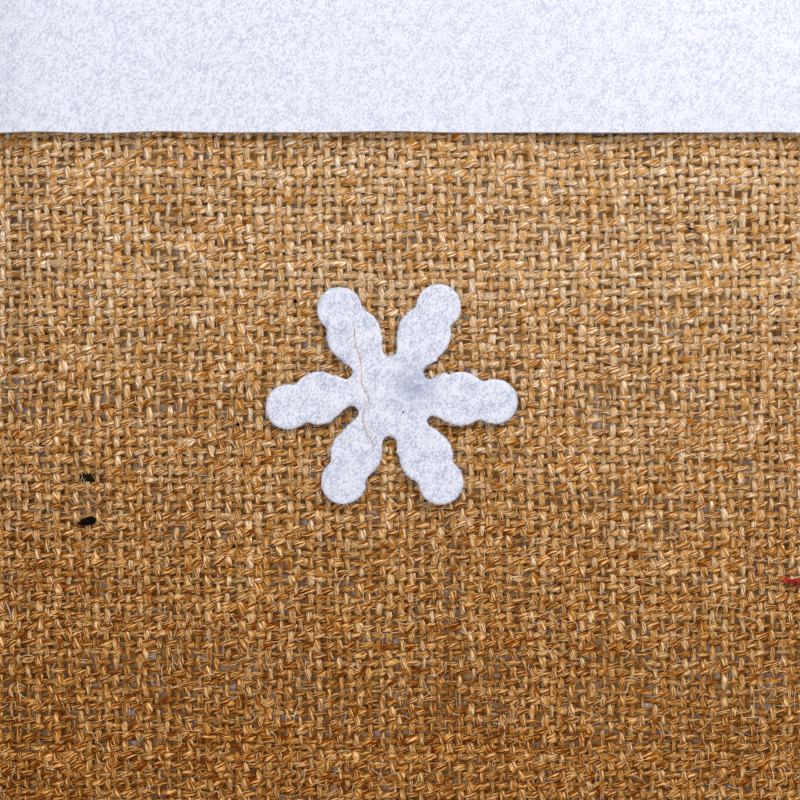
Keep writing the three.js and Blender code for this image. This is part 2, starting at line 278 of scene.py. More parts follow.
# %% [markdown]
# The rings of all the runs go into one list of points. The faces are only counting: each has the same
# corner on two rings and the next corner on both. The last face of a ring runs on to V = 1
# instead of back to 0, so the pattern doesn't run backwards there.

# %% Many tubes as one mesh
def tube_mesh(name, runs, sides):
    angles = 2 * np.pi * (np.arange(sides) + 0.5) / sides
    points, loops, starts, smooth, uvs = [], [], [], [], []
    values = {value: [] for value in POINT_VALUES}
    first_point = 0
    first_loop = 0
    for number, run in enumerate(runs):
        rings = run.ring_points(angles)
        count = len(rings)
        points.append(rings.reshape(-1, 3))
        for value in POINT_VALUES:
            spread = np.repeat(run.values[value], sides).reshape(count, sides)
            if value == "crest" and run.lift is not None:
                spread = (run.lift[:, None] + run.half_thick[:, None] * np.sin(angles)) / CLOTH_HALF
                spread = 0.5 + 0.5 * spread
            values[value].append(spread.ravel())
        ring = np.arange(count - 1)[:, None] * sides
        corner = np.arange(sides)[None]
        a = ring + corner
        b = ring + (corner + 1) % sides
        quads = np.stack([a, b, b + sides, a + sides], axis=-1).reshape(-1, 4) + first_point
        start_cap = np.arange(sides)[::-1] + first_point
        end_cap = np.arange(sides) + first_point + (count - 1) * sides
        loops += [quads.ravel(), start_cap, end_cap]
        quad_loops = quads.size
        caps = first_loop + quad_loops + np.array([0, sides])
        starts += [first_loop + np.arange(len(quads)) * 4, caps]
        smooth += [np.ones(len(quads), bool), np.zeros(2, bool)]
        step = np.linalg.norm(np.diff(run.centre, axis=0), axis=1)
        reach = UV_APART * number + np.concatenate([[0], np.cumsum(step)]) / UV_LENGTH
        u = np.broadcast_to(reach[:-1, None], (count - 1, sides))
        u_next = np.broadcast_to(reach[1:, None], (count - 1, sides))
        v = np.broadcast_to(corner / sides, (count - 1, sides))
        v_next = v + 1 / sides
        quad_uv = np.stack([u, v, u, v_next, u_next, v_next, u_next, v], axis=-1)
        cap_uv = np.stack([np.full(sides, reach[0]), np.arange(sides) / sides], axis=-1)
        uvs += [quad_uv.reshape(-1, 2), cap_uv, cap_uv + [reach[-1] - reach[0], 0]]
        first_point += count * sides
        first_loop += quad_loops + 2 * sides
    mesh = bpy.data.meshes.new(name)
    loops = np.concatenate(loops)
    starts = np.concatenate(starts)
    mesh.vertices.add(first_point)
    mesh.vertices.foreach_set("co", np.concatenate(points).ravel())
    mesh.loops.add(len(loops))
    mesh.loops.foreach_set("vertex_index", loops)
    mesh.polygons.add(len(starts))
    mesh.polygons.foreach_set("loop_start", starts)
    mesh.polygons.foreach_set("use_smooth", np.concatenate(smooth))
    mesh.uv_layers.new(name="along").data.foreach_set("uv", np.concatenate(uvs).ravel())
    for value in POINT_VALUES:
        attribute = mesh.attributes.new(value, "FLOAT", "POINT")
        attribute.data.foreach_set("value", np.concatenate(values[value]).astype(np.float32))
    mesh.update(calc_edges=True)
    mesh.validate()
    return link(name, mesh)


# %% [markdown]
# What every piece needs after it is made: a place in the scene, a count of its triangles, and its
# finish, body and imported node.

# %% Helpers for every piece
def link(name, mesh):
    piece = bpy.data.objects.new(name, mesh)
    bpy.context.scene.collection.objects.link(piece)
    return piece


def triangles(piece):
    return sum(len(face.vertices) - 2 for face in piece.data.polygons)


def dress(piece, material, node=None, body="stocking"):
    """A piece's material, the body it moves with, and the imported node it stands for."""
    piece.data.materials.append(material)
    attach(piece, body)
    if node:
        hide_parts(node)


# %% [markdown]
# ## Finishes
# Every finish here is drawn by shader nodes, because jute, felt and cotton vary at every scale and
# nothing is flat colour. A few helpers add a node and hand back its output, so that a material
# reads like a sum.

# %% Shader node helpers
def feed(tree, socket, value):
    """Links a socket to another node's output, or sets it to a value."""
    if isinstance(value, bpy.types.NodeSocket):
        tree.links.new(value, socket)
    else:
        socket.default_value = value


def new_group(name, inputs, outputs):
    group = bpy.data.node_groups.new(name, "ShaderNodeTree")
    for socket, kind, value in inputs:
        made = group.interface.new_socket(name=socket, in_out="INPUT", socket_type=kind)
        if value is not None:
            made.default_value = value
    for socket, kind in outputs:
        group.interface.new_socket(name=socket, in_out="OUTPUT", socket_type=kind)
    entry = group.nodes.new("NodeGroupInput")
    exit_node = group.nodes.new("NodeGroupOutput")
    return group, entry, exit_node


def math_node(tree, operation, *inputs, clamp=False):
    node = tree.nodes.new("ShaderNodeMath")
    node.operation = operation
    node.use_clamp = clamp
    for socket, value in zip(node.inputs, inputs):
        feed(tree, socket, value)
    return node.outputs[0]


def combine(tree, *parts):
    node = tree.nodes.new("ShaderNodeCombineXYZ")
    for socket, value in zip(node.inputs, parts):
        feed(tree, socket, value)
    return node.outputs[0]


def noise(tree, vector, scale, detail=2.0, roughness=0.5):
    node = tree.nodes.new("ShaderNodeTexNoise")
    set_inputs(node, Scale=scale, Detail=detail, Roughness=roughness)
    if vector is not None:
        tree.links.new(vector, node.inputs["Vector"])
    return node.outputs["Fac"]


def remap(tree, value, low, high, to_low=0.0, to_high=1.0):
    node = tree.nodes.new("ShaderNodeMapRange")
    tree.links.new(value, node.inputs["Value"])
    set_inputs(node, From_Min=low, From_Max=high, To_Min=to_low, To_Max=to_high)
    return node.outputs["Result"]


def colour_ramp(tree, value, stops):
    node = tree.nodes.new("ShaderNodeValToRGB")
    tree.links.new(value, node.inputs["Fac"])
    elements = node.color_ramp.elements
    while len(elements) < len(stops):
        elements.new(0.5)
    for element, (place, colour) in zip(elements, stops):
        element.position = place
        element.color = (*colour, 1)
    return node.outputs["Color"]


# %% [markdown]
# Helpers of a second kind blend colours, read what a mesh carries (its place, UV map and point values)
# and join the result to the shader.

# %% Colour and place helpers
# A Mix node has a set of sockets for each kind of value. These are its factor and its two colours.
MIX_INPUTS = (0, 6, 7)
MIX_OUTPUT = 2


def mix_colour(tree, factor, first, second, blend="MIX"):
    node = tree.nodes.new("ShaderNodeMix")
    node.data_type = "RGBA"
    node.blend_type = blend
    for place, value in zip(MIX_INPUTS, (factor, first, second)):
        feed(tree, node.inputs[place], (*value, 1) if isinstance(value, tuple) else value)
    return node.outputs[MIX_OUTPUT]


def attribute(tree, name):
    node = tree.nodes.new("ShaderNodeAttribute")
    node.attribute_name = name
    return node.outputs["Fac"]


def object_coordinates(tree):
    return tree.nodes.new("ShaderNodeTexCoord").outputs["Object"]


def place_in(tree):
    split = tree.nodes.new("ShaderNodeSeparateXYZ")
    tree.links.new(object_coordinates(tree), split.inputs["Vector"])
    return split.outputs["X"], split.outputs["Z"]


def uv_parts(tree):
    uv = tree.nodes.new("ShaderNodeUVMap")
    uv.uv_map = "along"
    split = tree.nodes.new("ShaderNodeSeparateXYZ")
    tree.links.new(uv.outputs["UV"], split.inputs["Vector"])
    return split.outputs["X"], split.outputs["Y"]


def use_group(tree, group, **inputs):
    node = tree.nodes.new("ShaderNodeGroup")
    node.node_tree = group
    for name, value in inputs.items():
        feed(tree, node.inputs[name], value)
    return node


def paint(tree, shader, colour):
    tree.links.new(colour, shader.inputs["Base Color"])


def bump(tree, shader, height, strength, distance):
    node = tree.nodes.new("ShaderNodeBump")
    set_inputs(node, Strength=strength, Distance=distance)
    tree.links.new(height, node.inputs["Height"])
    tree.links.new(node.outputs["Normal"], shader.inputs["Normal"])


# %% [markdown]
# Jute, twine and yarn all show fine fibres that wind round the thread. A node group draws them
# from the UV map: the way round becomes a circle, so the pattern has no seam, and a twist turns
# the circle as the thread runs on. It puts out a streak value, which colours and raises the
# fibres.

# %% Fibre streaks, a shared node group
fibre_streaks, entry, exit_node = new_group(
    "fibre_streaks",
    [
        ("Along", "NodeSocketFloat", 0.0),
        ("Round", "NodeSocketFloat", 0.0),
        ("Twist", "NodeSocketFloat", 1.5),
        ("Stretch", "NodeSocketFloat", 3.0),
        ("Fineness", "NodeSocketFloat", 2.0),
    ],
    [("Streak", "NodeSocketFloat")],
)
along, around, twist, stretch, fineness = (entry.outputs[place] for place in range(5))
winding = math_node(fibre_streaks, "MULTIPLY", along, twist)
turned = math_node(fibre_streaks, "ADD", around, winding)
angle = math_node(fibre_streaks, "MULTIPLY", turned, 2 * math.pi)
cosine = math_node(fibre_streaks, "COSINE", angle)
sine = math_node(fibre_streaks, "SINE", angle)
across = math_node(fibre_streaks, "MULTIPLY", cosine, fineness)
depth = math_node(fibre_streaks, "MULTIPLY", sine, fineness)
run_on = math_node(fibre_streaks, "MULTIPLY", along, stretch)
fine = noise(fibre_streaks, combine(fibre_streaks, run_on, across, depth), 1.0, 2.0, 0.7)
fibre_streaks.links.new(remap(fibre_streaks, fine, 0.42, 0.60), exit_node.inputs["Streak"])

# %% [markdown]
# The jute is painted dark brown where the thread dives between its neighbours and pale straw where
# it stands proud: painted shade in the recesses and a painted highlight on the crests. The cloth is
# also painted darker and more orange towards the bottom and a little darker towards the left, as
# painted shade from the light up and to the right. Each thread has a tone of its own, parts of it are
# more orange, and a few places are stained nearly black.

# %% Burlap thread material
burlap_thread, tree, shader = new_material("burlap_thread", roughness=0.85, specular=0.1)
along, around = uv_parts(tree)
fibres = use_group(
    tree, fibre_streaks, Along=along, Round=around, Twist=0.75, Stretch=4.4, Fineness=2.8
)
streak = fibres.outputs["Streak"]
# Painted shade and highlight: a low crest value darkens the thread between its neighbours, and a high
# one lightens it on top.
height = remap(tree, attribute(tree, "crest"), 0.35, 1.0)
crest_painted_shade = math_node(tree, "MULTIPLY", height, 0.16)
streaked = math_node(tree, "MULTIPLY_ADD", streak, 0.82, crest_painted_shade)
sideways, upwards = place_in(tree)
# Painted shade: darker towards the bottom and towards the left, where the light from the upper right
# falls off.
painted_shade_low = remap(tree, upwards, FLAKE.z + 30 * MM, FLAKE.z - 80 * MM)
painted_shade_left = remap(tree, sideways, FLAKE.x + 80 * MM, FLAKE.x - 90 * MM)
painted_low_shade = math_node(tree, "MULTIPLY", painted_shade_low, 0.35)
painted_shade_total = math_node(tree, "MULTIPLY_ADD", painted_shade_left, 0.09, painted_low_shade)
painted_light_offset = math_node(tree, "SUBTRACT", 0.185, painted_shade_total)
shade = math_node(tree, "ADD", streaked, painted_light_offset)
toned = math_node(tree, "MULTIPLY_ADD", attribute(tree, "tone"), 0.12, shade)
jute_colour = colour_ramp(
    tree,
    toned,
    [
        (0.00, (0.150, 0.028, 0.001)),
        (0.20, (0.330, 0.105, 0.004)),
        (0.42, (0.630, 0.305, 0.060)),
        (0.64, (0.820, 0.500, 0.200)),
        (0.84, (0.840, 0.600, 0.380)),
        (1.00, (0.900, 0.760, 0.620)),
    ],
)
# The warm value is the jute's own orange patches. Towards the bottom the colour is also made more
# orange and darker, as painted shade.
warm = math_node(tree, "MULTIPLY", attribute(tree, "warm"), 0.6)
warm_and_painted_shade = math_node(tree, "MULTIPLY_ADD", painted_shade_low, 0.55, warm, clamp=True)
warmed_and_painted_shade = mix_colour(tree, warm_and_painted_shade, jute_colour, (0.97, 0.81, 0.50), "MULTIPLY")
paint(tree, shader, mix_colour(tree, attribute(tree, "stain"), warmed_and_painted_shade, (0.010, 0.006, 0.004)))
bump(tree, shader, streak, 1.0, 0.26 * MM)

# %% [markdown]
# ## Weaving the burlap
# Burlap is a plain weave: each thread goes over one and under the next. A grid of crossings, a
# little uneven as hand-loomed jute is, gives every thread its route. Between crossings it rises
# and falls as a cosine, square to the panel's own bulge. A panel has too many faces for one piece,
# so its upright threads are made in four pieces side by side and its level threads in four pieces
# one below another, and no thread is cut.

# %% The weave
WARP_PITCH = 2.31 * MM
WEFT_PITCH = 2.13 * MM
WAVE = 0.38 * MM
THREAD_HALF_T = 0.37 * MM
CLOTH_HALF = WAVE + THREAD_HALF_T
WARP_HALF_W = 0.80 * MM
WEFT_HALF_W = 0.94 * MM
WARP_TONE = 1.0
WEFT_TONE = -0.2
THREAD_ROUGH = 0.08
SLUB = 0.18
TONE_DRIFT = 0.28
TONE_SPREAD = 0.33
WIDTH_SPREAD = 0.13
WARP_SWAY = 0.26 * MM
WEFT_SWAY = 0.24 * MM
CLOTH_SWAY = 0.25 * MM
JITTER = 0.15 * MM
FEWEST_CROSSINGS = 3
RAW_EDGE = 0.9 * MM
CURL_RUN = 3 * MM
CURL_START = 0.7 * MM
COVER = 6 * MM
PIECES_EACH_WAY = 4
# The half width of the threads, their tone, and how much of a stain they take.
UPRIGHT_LOOK = (WARP_HALF_W, WARP_TONE, 0.35)
LEVEL_LOOK = (WEFT_HALF_W, WEFT_TONE, 1.0)

# %% [markdown]
# Three helpers shape the cloth: random values that change slowly, as a hand-loomed cloth wanders,
# the depth of the panel at any place, which curls in to the seam at the edge, and the direction
# square to it.

# %% The shape of the cloth
def smooth_random(rng, shape, passes):
    """Random values that change slowly over a grid, with a mean of 0 and a spread of 1."""
    values = rng.standard_normal(shape)
    for axis in range(len(shape)):
        for _ in range(passes[axis]):
            before = np.roll(values, 1, axis)
            after = np.roll(values, -1, axis)
            values = 0.25 * before + 0.5 * values + 0.25 * after
    return (values - values.mean()) / values.std()


def curl(distance):
    return np.sqrt(1 - (1 - np.clip((distance - CURL_START) / CURL_RUN, 0.02, 1)) ** 2)


def panel_depth(u, z):
    """How far the middle of the burlap lies in front of the seam's plane."""
    slope = (toe_edge(z + MM) - toe_edge(z - MM)) / (2 * MM)
    side = np.minimum((u - toe_edge(z)) / np.hypot(1, slope), heel_edge(z) - u)
    return (hollow(u, z) + PANEL_MID) * curl(side) * curl(z - SOLE_Z)


def panel_normal(u, z, step=0.25 * MM):
    across = (panel_depth(u + step, z) - panel_depth(u - step, z)) / (2 * step)
    down = (panel_depth(u, z + step) - panel_depth(u, z - step)) / (2 * step)
    return unit(np.stack([-across, -np.ones_like(across), -down], axis=-1))


# %% [markdown]
# Jute carries dark flecks. A few are large enough to notice, so each has a place in a table, and a
# thread that runs through one is stained there.

# %% Marks in the cloth
# The place of each, in millimetres across and up from the snowflake's middle, its half length and half
# height, and how dark it is.
MARKS = [
    (-70.2, -18.6, 3.4, 1.0, 1.0),
    (-66.8, -18.6, 0.8, 1.0, 1.0),
    (-22.0, 21.7, 0.5, 0.5, 0.9),
    (68.3, 37.9, 1.3, 0.5, 0.85),
    (-51.0, 30.3, 2.2, 0.4, 0.7),
    (-45.5, 30.6, 0.8, 0.5, 0.7),
    (-35.0, -6.6, 1.2, 1.2, 0.6),
    (30.0, -33.0, 1.0, 0.6, 0.8),
    (64.0, -30.0, 1.6, 1.2, 0.5),
    (88.6, -8.8, 0.7, 1.0, 0.4),
]


def stain_at(u, z):
    dark = np.zeros_like(u)
    for across, up, half_long, half_high, depth in MARKS:
        du = (u - (FLAKE.x - MIDDLE_X) - across * MM) / (half_long * MM)
        dz = (z - FLAKE.z - up * MM) / (half_high * MM)
        dark = np.maximum(dark, depth * np.clip(1.6 - np.hypot(du, dz), 0, 1))
    return dark


# %% [markdown]
# One thread is a run of points on the panel, lifted over and under its neighbours. Its width and tone
# drift along it, so no two lengths are alike.

# %% One thread
def on_panel(u, z, lift, side):
    """Points (u, z) of a panel raised by lift along its normal, and the normals. Side is -1 for the
    front and 1 for the back."""
    normal = panel_normal(u, z)
    centre = np.stack([u, -panel_depth(u, z), z], axis=-1) + normal * lift[..., None]
    if side > 0:
        centre[..., 1] *= -1
        normal[..., 1] *= -1
    centre[..., 0] += MIDDLE_X
    return centre, normal


def thread_run(rng, u, z, lift, half_width, tone, side, sides, marked):
    centre, normal = on_panel(u, z, lift, side)
    count = len(u)
    slub = smooth_random(rng, (count,), (3,))
    drift = smooth_random(rng, (count,), (20,))
    return Run(
        centre,
        normal,
        half_width * np.clip(1 + SLUB * slub, 0.5, 1.5),
        THREAD_HALF_T * (1 + 0.05 * slub),
        tone=tone + TONE_DRIFT * drift,
        warm=np.clip(0.25 + 0.35 * smooth_random(rng, (count,), (12,)), 0, 1),
        stain=marked * stain_at(u, z) if side < 0 else 0.0,
        lift=lift,
        rough=THREAD_ROUGH * rng.standard_normal((count, sides)),
    )


def thread_steps(found, samples, hidden):
    """Steps along a thread, in crossings. One a crossing is enough where the cuff hides it."""
    first, last = found[0], found[-1]
    coarse = np.arange(first, min(last + 1, hidden), 1.0)
    start = max(first, hidden) - 0.5
    fine = np.arange(start, last + 0.51, 1 / samples) if last >= hidden else []
    return np.concatenate([coarse, fine])


# %% [markdown]
# The crossings are drawn first, all at once, and both sets of threads then pass through them, so they
# meet where they should. Where the cuff hides the cloth, a thread has one point a crossing.

# %% Crossings and threads
def crossing_grid(rng):
    """Where each pair of threads crosses, a little uneven, and which crossings are inside the edge."""
    columns = int((LEG_HALF - TOE_X + TOE_R) / WARP_PITCH)
    rows = int((PANEL_TOP_Z - SOLE_Z) / WEFT_PITCH)
    shape = (columns, rows)
    u = LEG_HALF - WARP_PITCH * (0.5 + np.arange(columns))[:, None] + np.zeros(shape)
    z = PANEL_TOP_Z - WEFT_PITCH * (0.5 + np.arange(rows))[None] + np.zeros(shape)
    u = u + WARP_SWAY * smooth_random(rng, shape, (0, 9))
    u = u + CLOTH_SWAY * smooth_random(rng, shape, (10, 30))
    z = z + WEFT_SWAY * smooth_random(rng, shape, (9, 0))
    z = z + CLOTH_SWAY * smooth_random(rng, shape, (30, 10))
    u = u + JITTER * smooth_random(rng, shape, (0, 1))
    z = z + JITTER * smooth_random(rng, shape, (1, 0))
    return u, z, (edge_distance(u, z) > RAW_EDGE) & (z > SOLE_Z + RAW_EDGE)


def lay_threads(rng, grid, upright, side, samples, sides):
    """The upright or the level threads of one panel, shared out over the pieces."""
    u, z, inside = grid if upright else (values.T for values in grid)
    half_mean, tone_mean, marked = UPRIGHT_LOOK if upright else LEVEL_LOOK
    hidden_rows = int((PANEL_TOP_Z - CUFF_END_Z - COVER) / WEFT_PITCH)
    index = np.arange(u.shape[1])
    pieces = [[] for _ in range(PIECES_EACH_WAY)]
    seen = 0
    for number in range(len(u)):
        found = np.flatnonzero(inside[number])
        if len(found) < FEWEST_CROSSINGS:
            continue
        hidden_level = u.shape[1] if number < hidden_rows else 0
        t = thread_steps(found, samples, hidden_rows if upright else hidden_level)
        lift = (WAVE if upright else -WAVE) * np.cos(np.pi * t) * (-1) ** number
        half = half_mean * math.exp(WIDTH_SPREAD * rng.standard_normal())
        tone = tone_mean + TONE_SPREAD * rng.standard_normal()
        across, up = np.interp(t, index, u[number]), np.interp(t, index, z[number])
        run = thread_run(rng, across, up, lift, half, tone, side, sides, marked)
        share = int(seen / inside.sum() * PIECES_EACH_WAY)
        pieces[min(share, PIECES_EACH_WAY - 1)].append(run)
        seen += len(found)
    return pieces


# %% [markdown]
# Each piece of level threads is as wide as the panel is there, and the upright threads woven into it
# go with it. The back is seen less, so its threads are simpler.

# %% Both panels
def add_panel(word, side, seed, samples, sides):
    rng = np.random.default_rng(seed)
    grid = crossing_grid(rng)
    warp = lay_threads(rng, grid, True, side, samples, sides)
    weft = lay_threads(rng, grid, False, side, samples, sides)
    for number in range(PIECES_EACH_WAY):
        upright = tube_mesh("%s_upright_threads_%d" % (word, number + 1), warp[number], sides)
        level = tube_mesh("%s_level_threads_%d" % (word, number + 1), weft[number], sides)
        dress(upright, burlap_thread, word + "_panel")
        dress(level, burlap_thread, word + "_panel")
        heights = [run.centre[:, 2] for run in weft[number]]
        top = max(height.max() for height in heights) + WEFT_PITCH / 2
        bottom = min(height.min() for height in heights) - WEFT_PITCH / 2
        levels = np.linspace(top, bottom, 50)
        width = float((heel_edge(levels) - toe_edge(levels)).max())
        area = flat_area(top, bottom)
        print(level.name, triangles(level), upright.name, triangles(upright))


FRONT_SAMPLES = 3
FRONT_SIDES = 5
BACK_SAMPLES = 2
BACK_SIDES = 4
add_panel("front", -1, 11, FRONT_SAMPLES, FRONT_SIDES)
add_panel("back", 1, 12, BACK_SAMPLES, BACK_SIDES)

# %% [markdown]
# ## Loose fibres
# Burlap sheds. Fine pale fibres stand out of the threads, arch over a few millimetres and dive back
# into the cloth. Each is a tube with three sides, because at a tenth of a millimetre nobody sees
# its section, and thousands of them have to stay light.

# %% Loose fibre material
fibre_material, tree, shader = new_material("loose_fibre", roughness=0.75, specular=0.15)
fibre_tone = attribute(tree, "tone")
fibre_wear = noise(tree, object_coordinates(tree), 900.0, 1.0)
fibre_shade = math_node(tree, "MULTIPLY_ADD", fibre_wear, 0.4, fibre_tone)
fibre_colour = colour_ramp(
    tree,
    fibre_shade,
    [(0.2, (0.12, 0.038, 0.003)), (0.62, (0.64, 0.35, 0.10)), (1.0, (0.94, 0.74, 0.49))],
)
paint(tree, shader, mix_colour(tree, attribute(tree, "stain"), fibre_colour, (0.02, 0.01, 0.006)))

# %% [markdown]
# Most fibres lie along the threads they came from, and only some curl at any angle, so there are two
# kinds. Each starts and ends a little below the crests of the threads, so that it looks held.

# %% Loose fibres on both panels
FIBRE_RADIUS = 0.056 * MM
MOST_FIBRE = 14 * MM
FIBRE_SUNK = 0.25 * MM
FIBRE_RISE = 0.22 * MM
FIBRE_INSET = 2 * MM
DARK_FIBRES = 0.02
CURLY_LENGTH = 1.05 * MM
LYING_LENGTH = 0.75 * MM
CURLY_ARCH = 0.30 * MM
LYING_ARCH = 0.12 * MM


def loose_fibres(name, side, count, seed, curly):
    """Curly fibres stand out of the cloth at any angle, and the others lie along the threads."""
    rng = np.random.default_rng(seed)
    tries = 3 * count
    rings = 5 if curly else 4
    t = np.linspace(0, 1, rings)
    z0 = rng.uniform(SOLE_Z, CUFF_END_Z + COVER, tries)
    u0 = rng.uniform(TOE_X - TOE_R, LEG_HALF, tries)
    length = rng.gamma(4.0, CURLY_LENGTH if curly else LYING_LENGTH, tries)
    length = np.minimum(length, MOST_FIBRE)
    if curly:
        heading = rng.uniform(0, 2 * np.pi, tries)
        turn = rng.normal(0, 1.2, tries) * 2
        arch = abs(rng.normal(0, CURLY_ARCH, tries))
    else:
        heading = rng.integers(4, size=tries) * np.pi / 2 + rng.normal(0, 0.3, tries)
        turn = rng.normal(0, 0.8, tries)
        arch = abs(rng.normal(0, LYING_ARCH, tries))
    angle = heading[:, None] + turn[:, None] * (t - 0.5)
    step = length[:, None] / (rings - 1)
    u = u0[:, None] + np.cumsum(np.cos(angle), axis=1) * step
    z = z0[:, None] + np.cumsum(np.sin(angle), axis=1) * step
    rest = CLOTH_HALF * rng.uniform(0.5, 1.0, tries) - FIBRE_SUNK
    lift = rest[:, None] + (arch[:, None] + FIBRE_RISE) * np.sin(np.pi * t)
    kept = (edge_distance(u, z).min(axis=1) > FIBRE_INSET) & (z.min(axis=1) > SOLE_Z + FIBRE_INSET)
    u, z, lift = (values[kept][:count] for values in (u, z, lift))
    centre, normal = on_panel(u, z, lift, side)
    radius = FIBRE_RADIUS * rng.uniform(0.7, 1.3, count)
    tone = rng.uniform(0.05, 0.95, count)
    dark = (rng.uniform(size=count) < DARK_FIBRES) * 1.0
    runs = []
    for i in range(len(centre)):
        runs.append(Run(centre[i], normal[i], radius[i], radius[i], tone=tone[i], stain=dark[i]))
    piece = tube_mesh(name, runs, 3)
    dress(piece, fibre_material)
    print(name, len(runs), "fibres,", triangles(piece), "triangles")


loose_fibres("front_curly_fibres", -1, 3600, 21, True)
loose_fibres("front_lying_fibres", -1, 9600, 22, False)
loose_fibres("back_curly_fibres", 1, 1200, 23, True)

# %% [markdown]
# ## Cotton lining
# A thin lining of unbleached cotton stands behind the burlap and shows in its gaps. It is cut 5 mm
# smaller all round. It is a grid of points that follows the bulge, with an inner and an outer
# face, so it is a closed sheet with a real thickness. The side that faces the burlap has a material
# of its own, painted brown as the bounce light and shade in the gaps between the threads.

# %% A closed sheet from a grid
def grid_sheet(name, outer, inner):
    """A closed slab between two grids of points with the same shape. Outer's faces look along its
    columns crossed with its rows."""
    height, width = outer.shape[:2]
    points = np.concatenate([outer.reshape(-1, 3), inner.reshape(-1, 3)])
    index = np.arange(height * width).reshape(height, width)
    a, b, c, d = index[:-1, :-1], index[:-1, 1:], index[1:, 1:], index[1:, :-1]
    faces = [np.stack([a, d, c, b], axis=-1).reshape(-1, 4)]
    back = height * width
    faces.append(np.stack([a, b, c, d], axis=-1).reshape(-1, 4) + back)
    rim = np.concatenate([index[0, :-1], index[:-1, -1], index[-1, :0:-1], index[:0:-1, 0]])
    following = np.roll(rim, -1)
    faces.append(np.stack([rim, following, following + back, rim + back], axis=-1))
    mesh = bpy.data.meshes.new(name)
    mesh.from_pydata(points.tolist(), [], np.concatenate(faces).tolist())
    mesh.update()
    mesh.validate()
    piece = link(name, mesh)
    finish_surface(piece, 50)
    return piece


def select_only(piece):
    deselect()
    piece.select_set(True)
    bpy.context.view_layer.objects.active = piece


def finish_surface(piece, sharp_angle):
    """Faces outwards, and smooth shading except over edges sharper than sharp_angle degrees."""
    select_only(piece)
    bpy.ops.object.mode_set(mode="EDIT")
    bpy.ops.mesh.select_all(action="SELECT")
    bpy.ops.mesh.remove_doubles(threshold=1e-6)
    bpy.ops.mesh.normals_make_consistent(inside=False)
    bpy.ops.object.mode_set(mode="OBJECT")
    bpy.ops.object.shade_smooth_by_angle(angle=math.radians(sharp_angle))
    deselect()


# %% [markdown]
# The cotton is plain cloth with patches and small neps of another shade, and one function makes it
# in two tones: natural white inside, and, where it faces the burlap, painted brown for the bounce
# light and shade in the burlap's gaps, with the cotton's own pale neps.

# %% Cotton material
def cotton_material(name, stops):
    material, tree, shader = new_material(name, roughness=0.9, specular=0.1)
    place = object_coordinates(tree)
    patches = noise(tree, place, 160.0, 2.0)
    neps = noise(tree, place, 700.0, 1.0)
    mixed = math_node(tree, "MULTIPLY_ADD", neps, 0.45, math_node(tree, "MULTIPLY", patches, 0.75))
    paint(tree, shader, colour_ramp(tree, mixed, stops))
    bump(tree, shader, noise(tree, place, 2500.0, 2.0), 0.4, 0.2 * MM)
    return material


NATURAL = [(0.3, (0.60, 0.53, 0.42)), (0.66, (0.72, 0.66, 0.56)), (0.86, (0.80, 0.77, 0.70))]
# The brown stops are painted bounce light and shade seen in the burlap's gaps, and the pale top stop is
# the cotton's own white.
BOUNCE_SHADE_STOPS = [(0.36, (0.56, 0.22, 0.02)), (0.58, (0.80, 0.48, 0.16)), (0.71, (0.90, 0.79, 0.84))]
cotton = cotton_material("cotton", NATURAL)
cotton_painted_bounce = cotton_material("cotton_painted_bounce", BOUNCE_SHADE_STOPS)

# %% [markdown]
# Rows and columns crowd towards the seam and the sole, where the bulge turns most. Each face takes
# its tone from the way it looks: outwards to the burlap, or into the stocking.

# %% Both linings
LINING_SHEET_T = 0.5 * MM
LINING_ROWS = 70
LINING_COLUMNS = 46
LINING_RIPPLE = 0.12 * MM


def lining(word, side, seed):
    rng = np.random.default_rng(seed)
    floor_z = SOLE_Z + LINING_INSET
    level = np.linspace(0, 1, LINING_ROWS)[:, None]
    share = np.linspace(0, 1, LINING_COLUMNS)[None]
    z = PANEL_TOP_Z + (floor_z - PANEL_TOP_Z) * np.sin(np.pi / 2 * level)
    left = toe_edge(z) + LINING_INSET
    right = heel_edge(z) - LINING_INSET
    u = left + (right - left) * (0.5 - 0.5 * np.cos(np.pi * share))
    z = z + np.zeros_like(u)
    depth = hollow(u, z, LINING_INSET) + (LINING_T - LINING_SHEET_T) / 2
    depth = depth + LINING_RIPPLE * smooth_random(rng, u.shape, (6, 6))
    inner = np.stack([MIDDLE_X + u, side * depth, z], axis=-1)
    outer = np.stack([MIDDLE_X + u, side * (depth + LINING_SHEET_T), z], axis=-1)
    piece = grid_sheet(word + "_lining_sheet", outer, inner)
    # The side that faces the burlap takes the cotton with painted bounce light and shade, and the
    # inside takes the plain cotton.
    dress(piece, cotton_painted_bounce, word + "_lining")
    piece.data.materials.append(cotton)
    for face in piece.data.polygons:
        face.material_index = int(face.normal.y * side < 0)
    area = flat_area(PANEL_TOP_Z, floor_z, LINING_INSET)


lining("front", -1, 31)
lining("back", 1, 32)
print("lining cut:", flat_area(PANEL_TOP_Z, SOLE_Z + LINING_INSET, LINING_INSET))

# %% [markdown]
# ## Felt
# Felt has no weave. It is matted wool, so it is mottled at the scale of a millimetre and slightly
# hairy. The mottling is a node group with a grain that is longer one way, used by the snowflake
# and the cuff with different values.

# %% Felt group and material
felt_mottle, entry, exit_node = new_group(
    "felt_mottle",
    [("Vector", "NodeSocketVector", None), ("Grain", "NodeSocketFloat", 700.0)],
    [("Mottle", "NodeSocketFloat"), ("Nap", "NodeSocketFloat")],
)
lean = felt_mottle.nodes.new("ShaderNodeMapping")
lean.vector_type = "TEXTURE"
set_inputs(lean, Rotation=(0.0, 0.6, 0.0), Scale=(1.0, 1.0, 1.8))
felt_mottle.links.new(entry.outputs["Vector"], lean.inputs["Vector"])


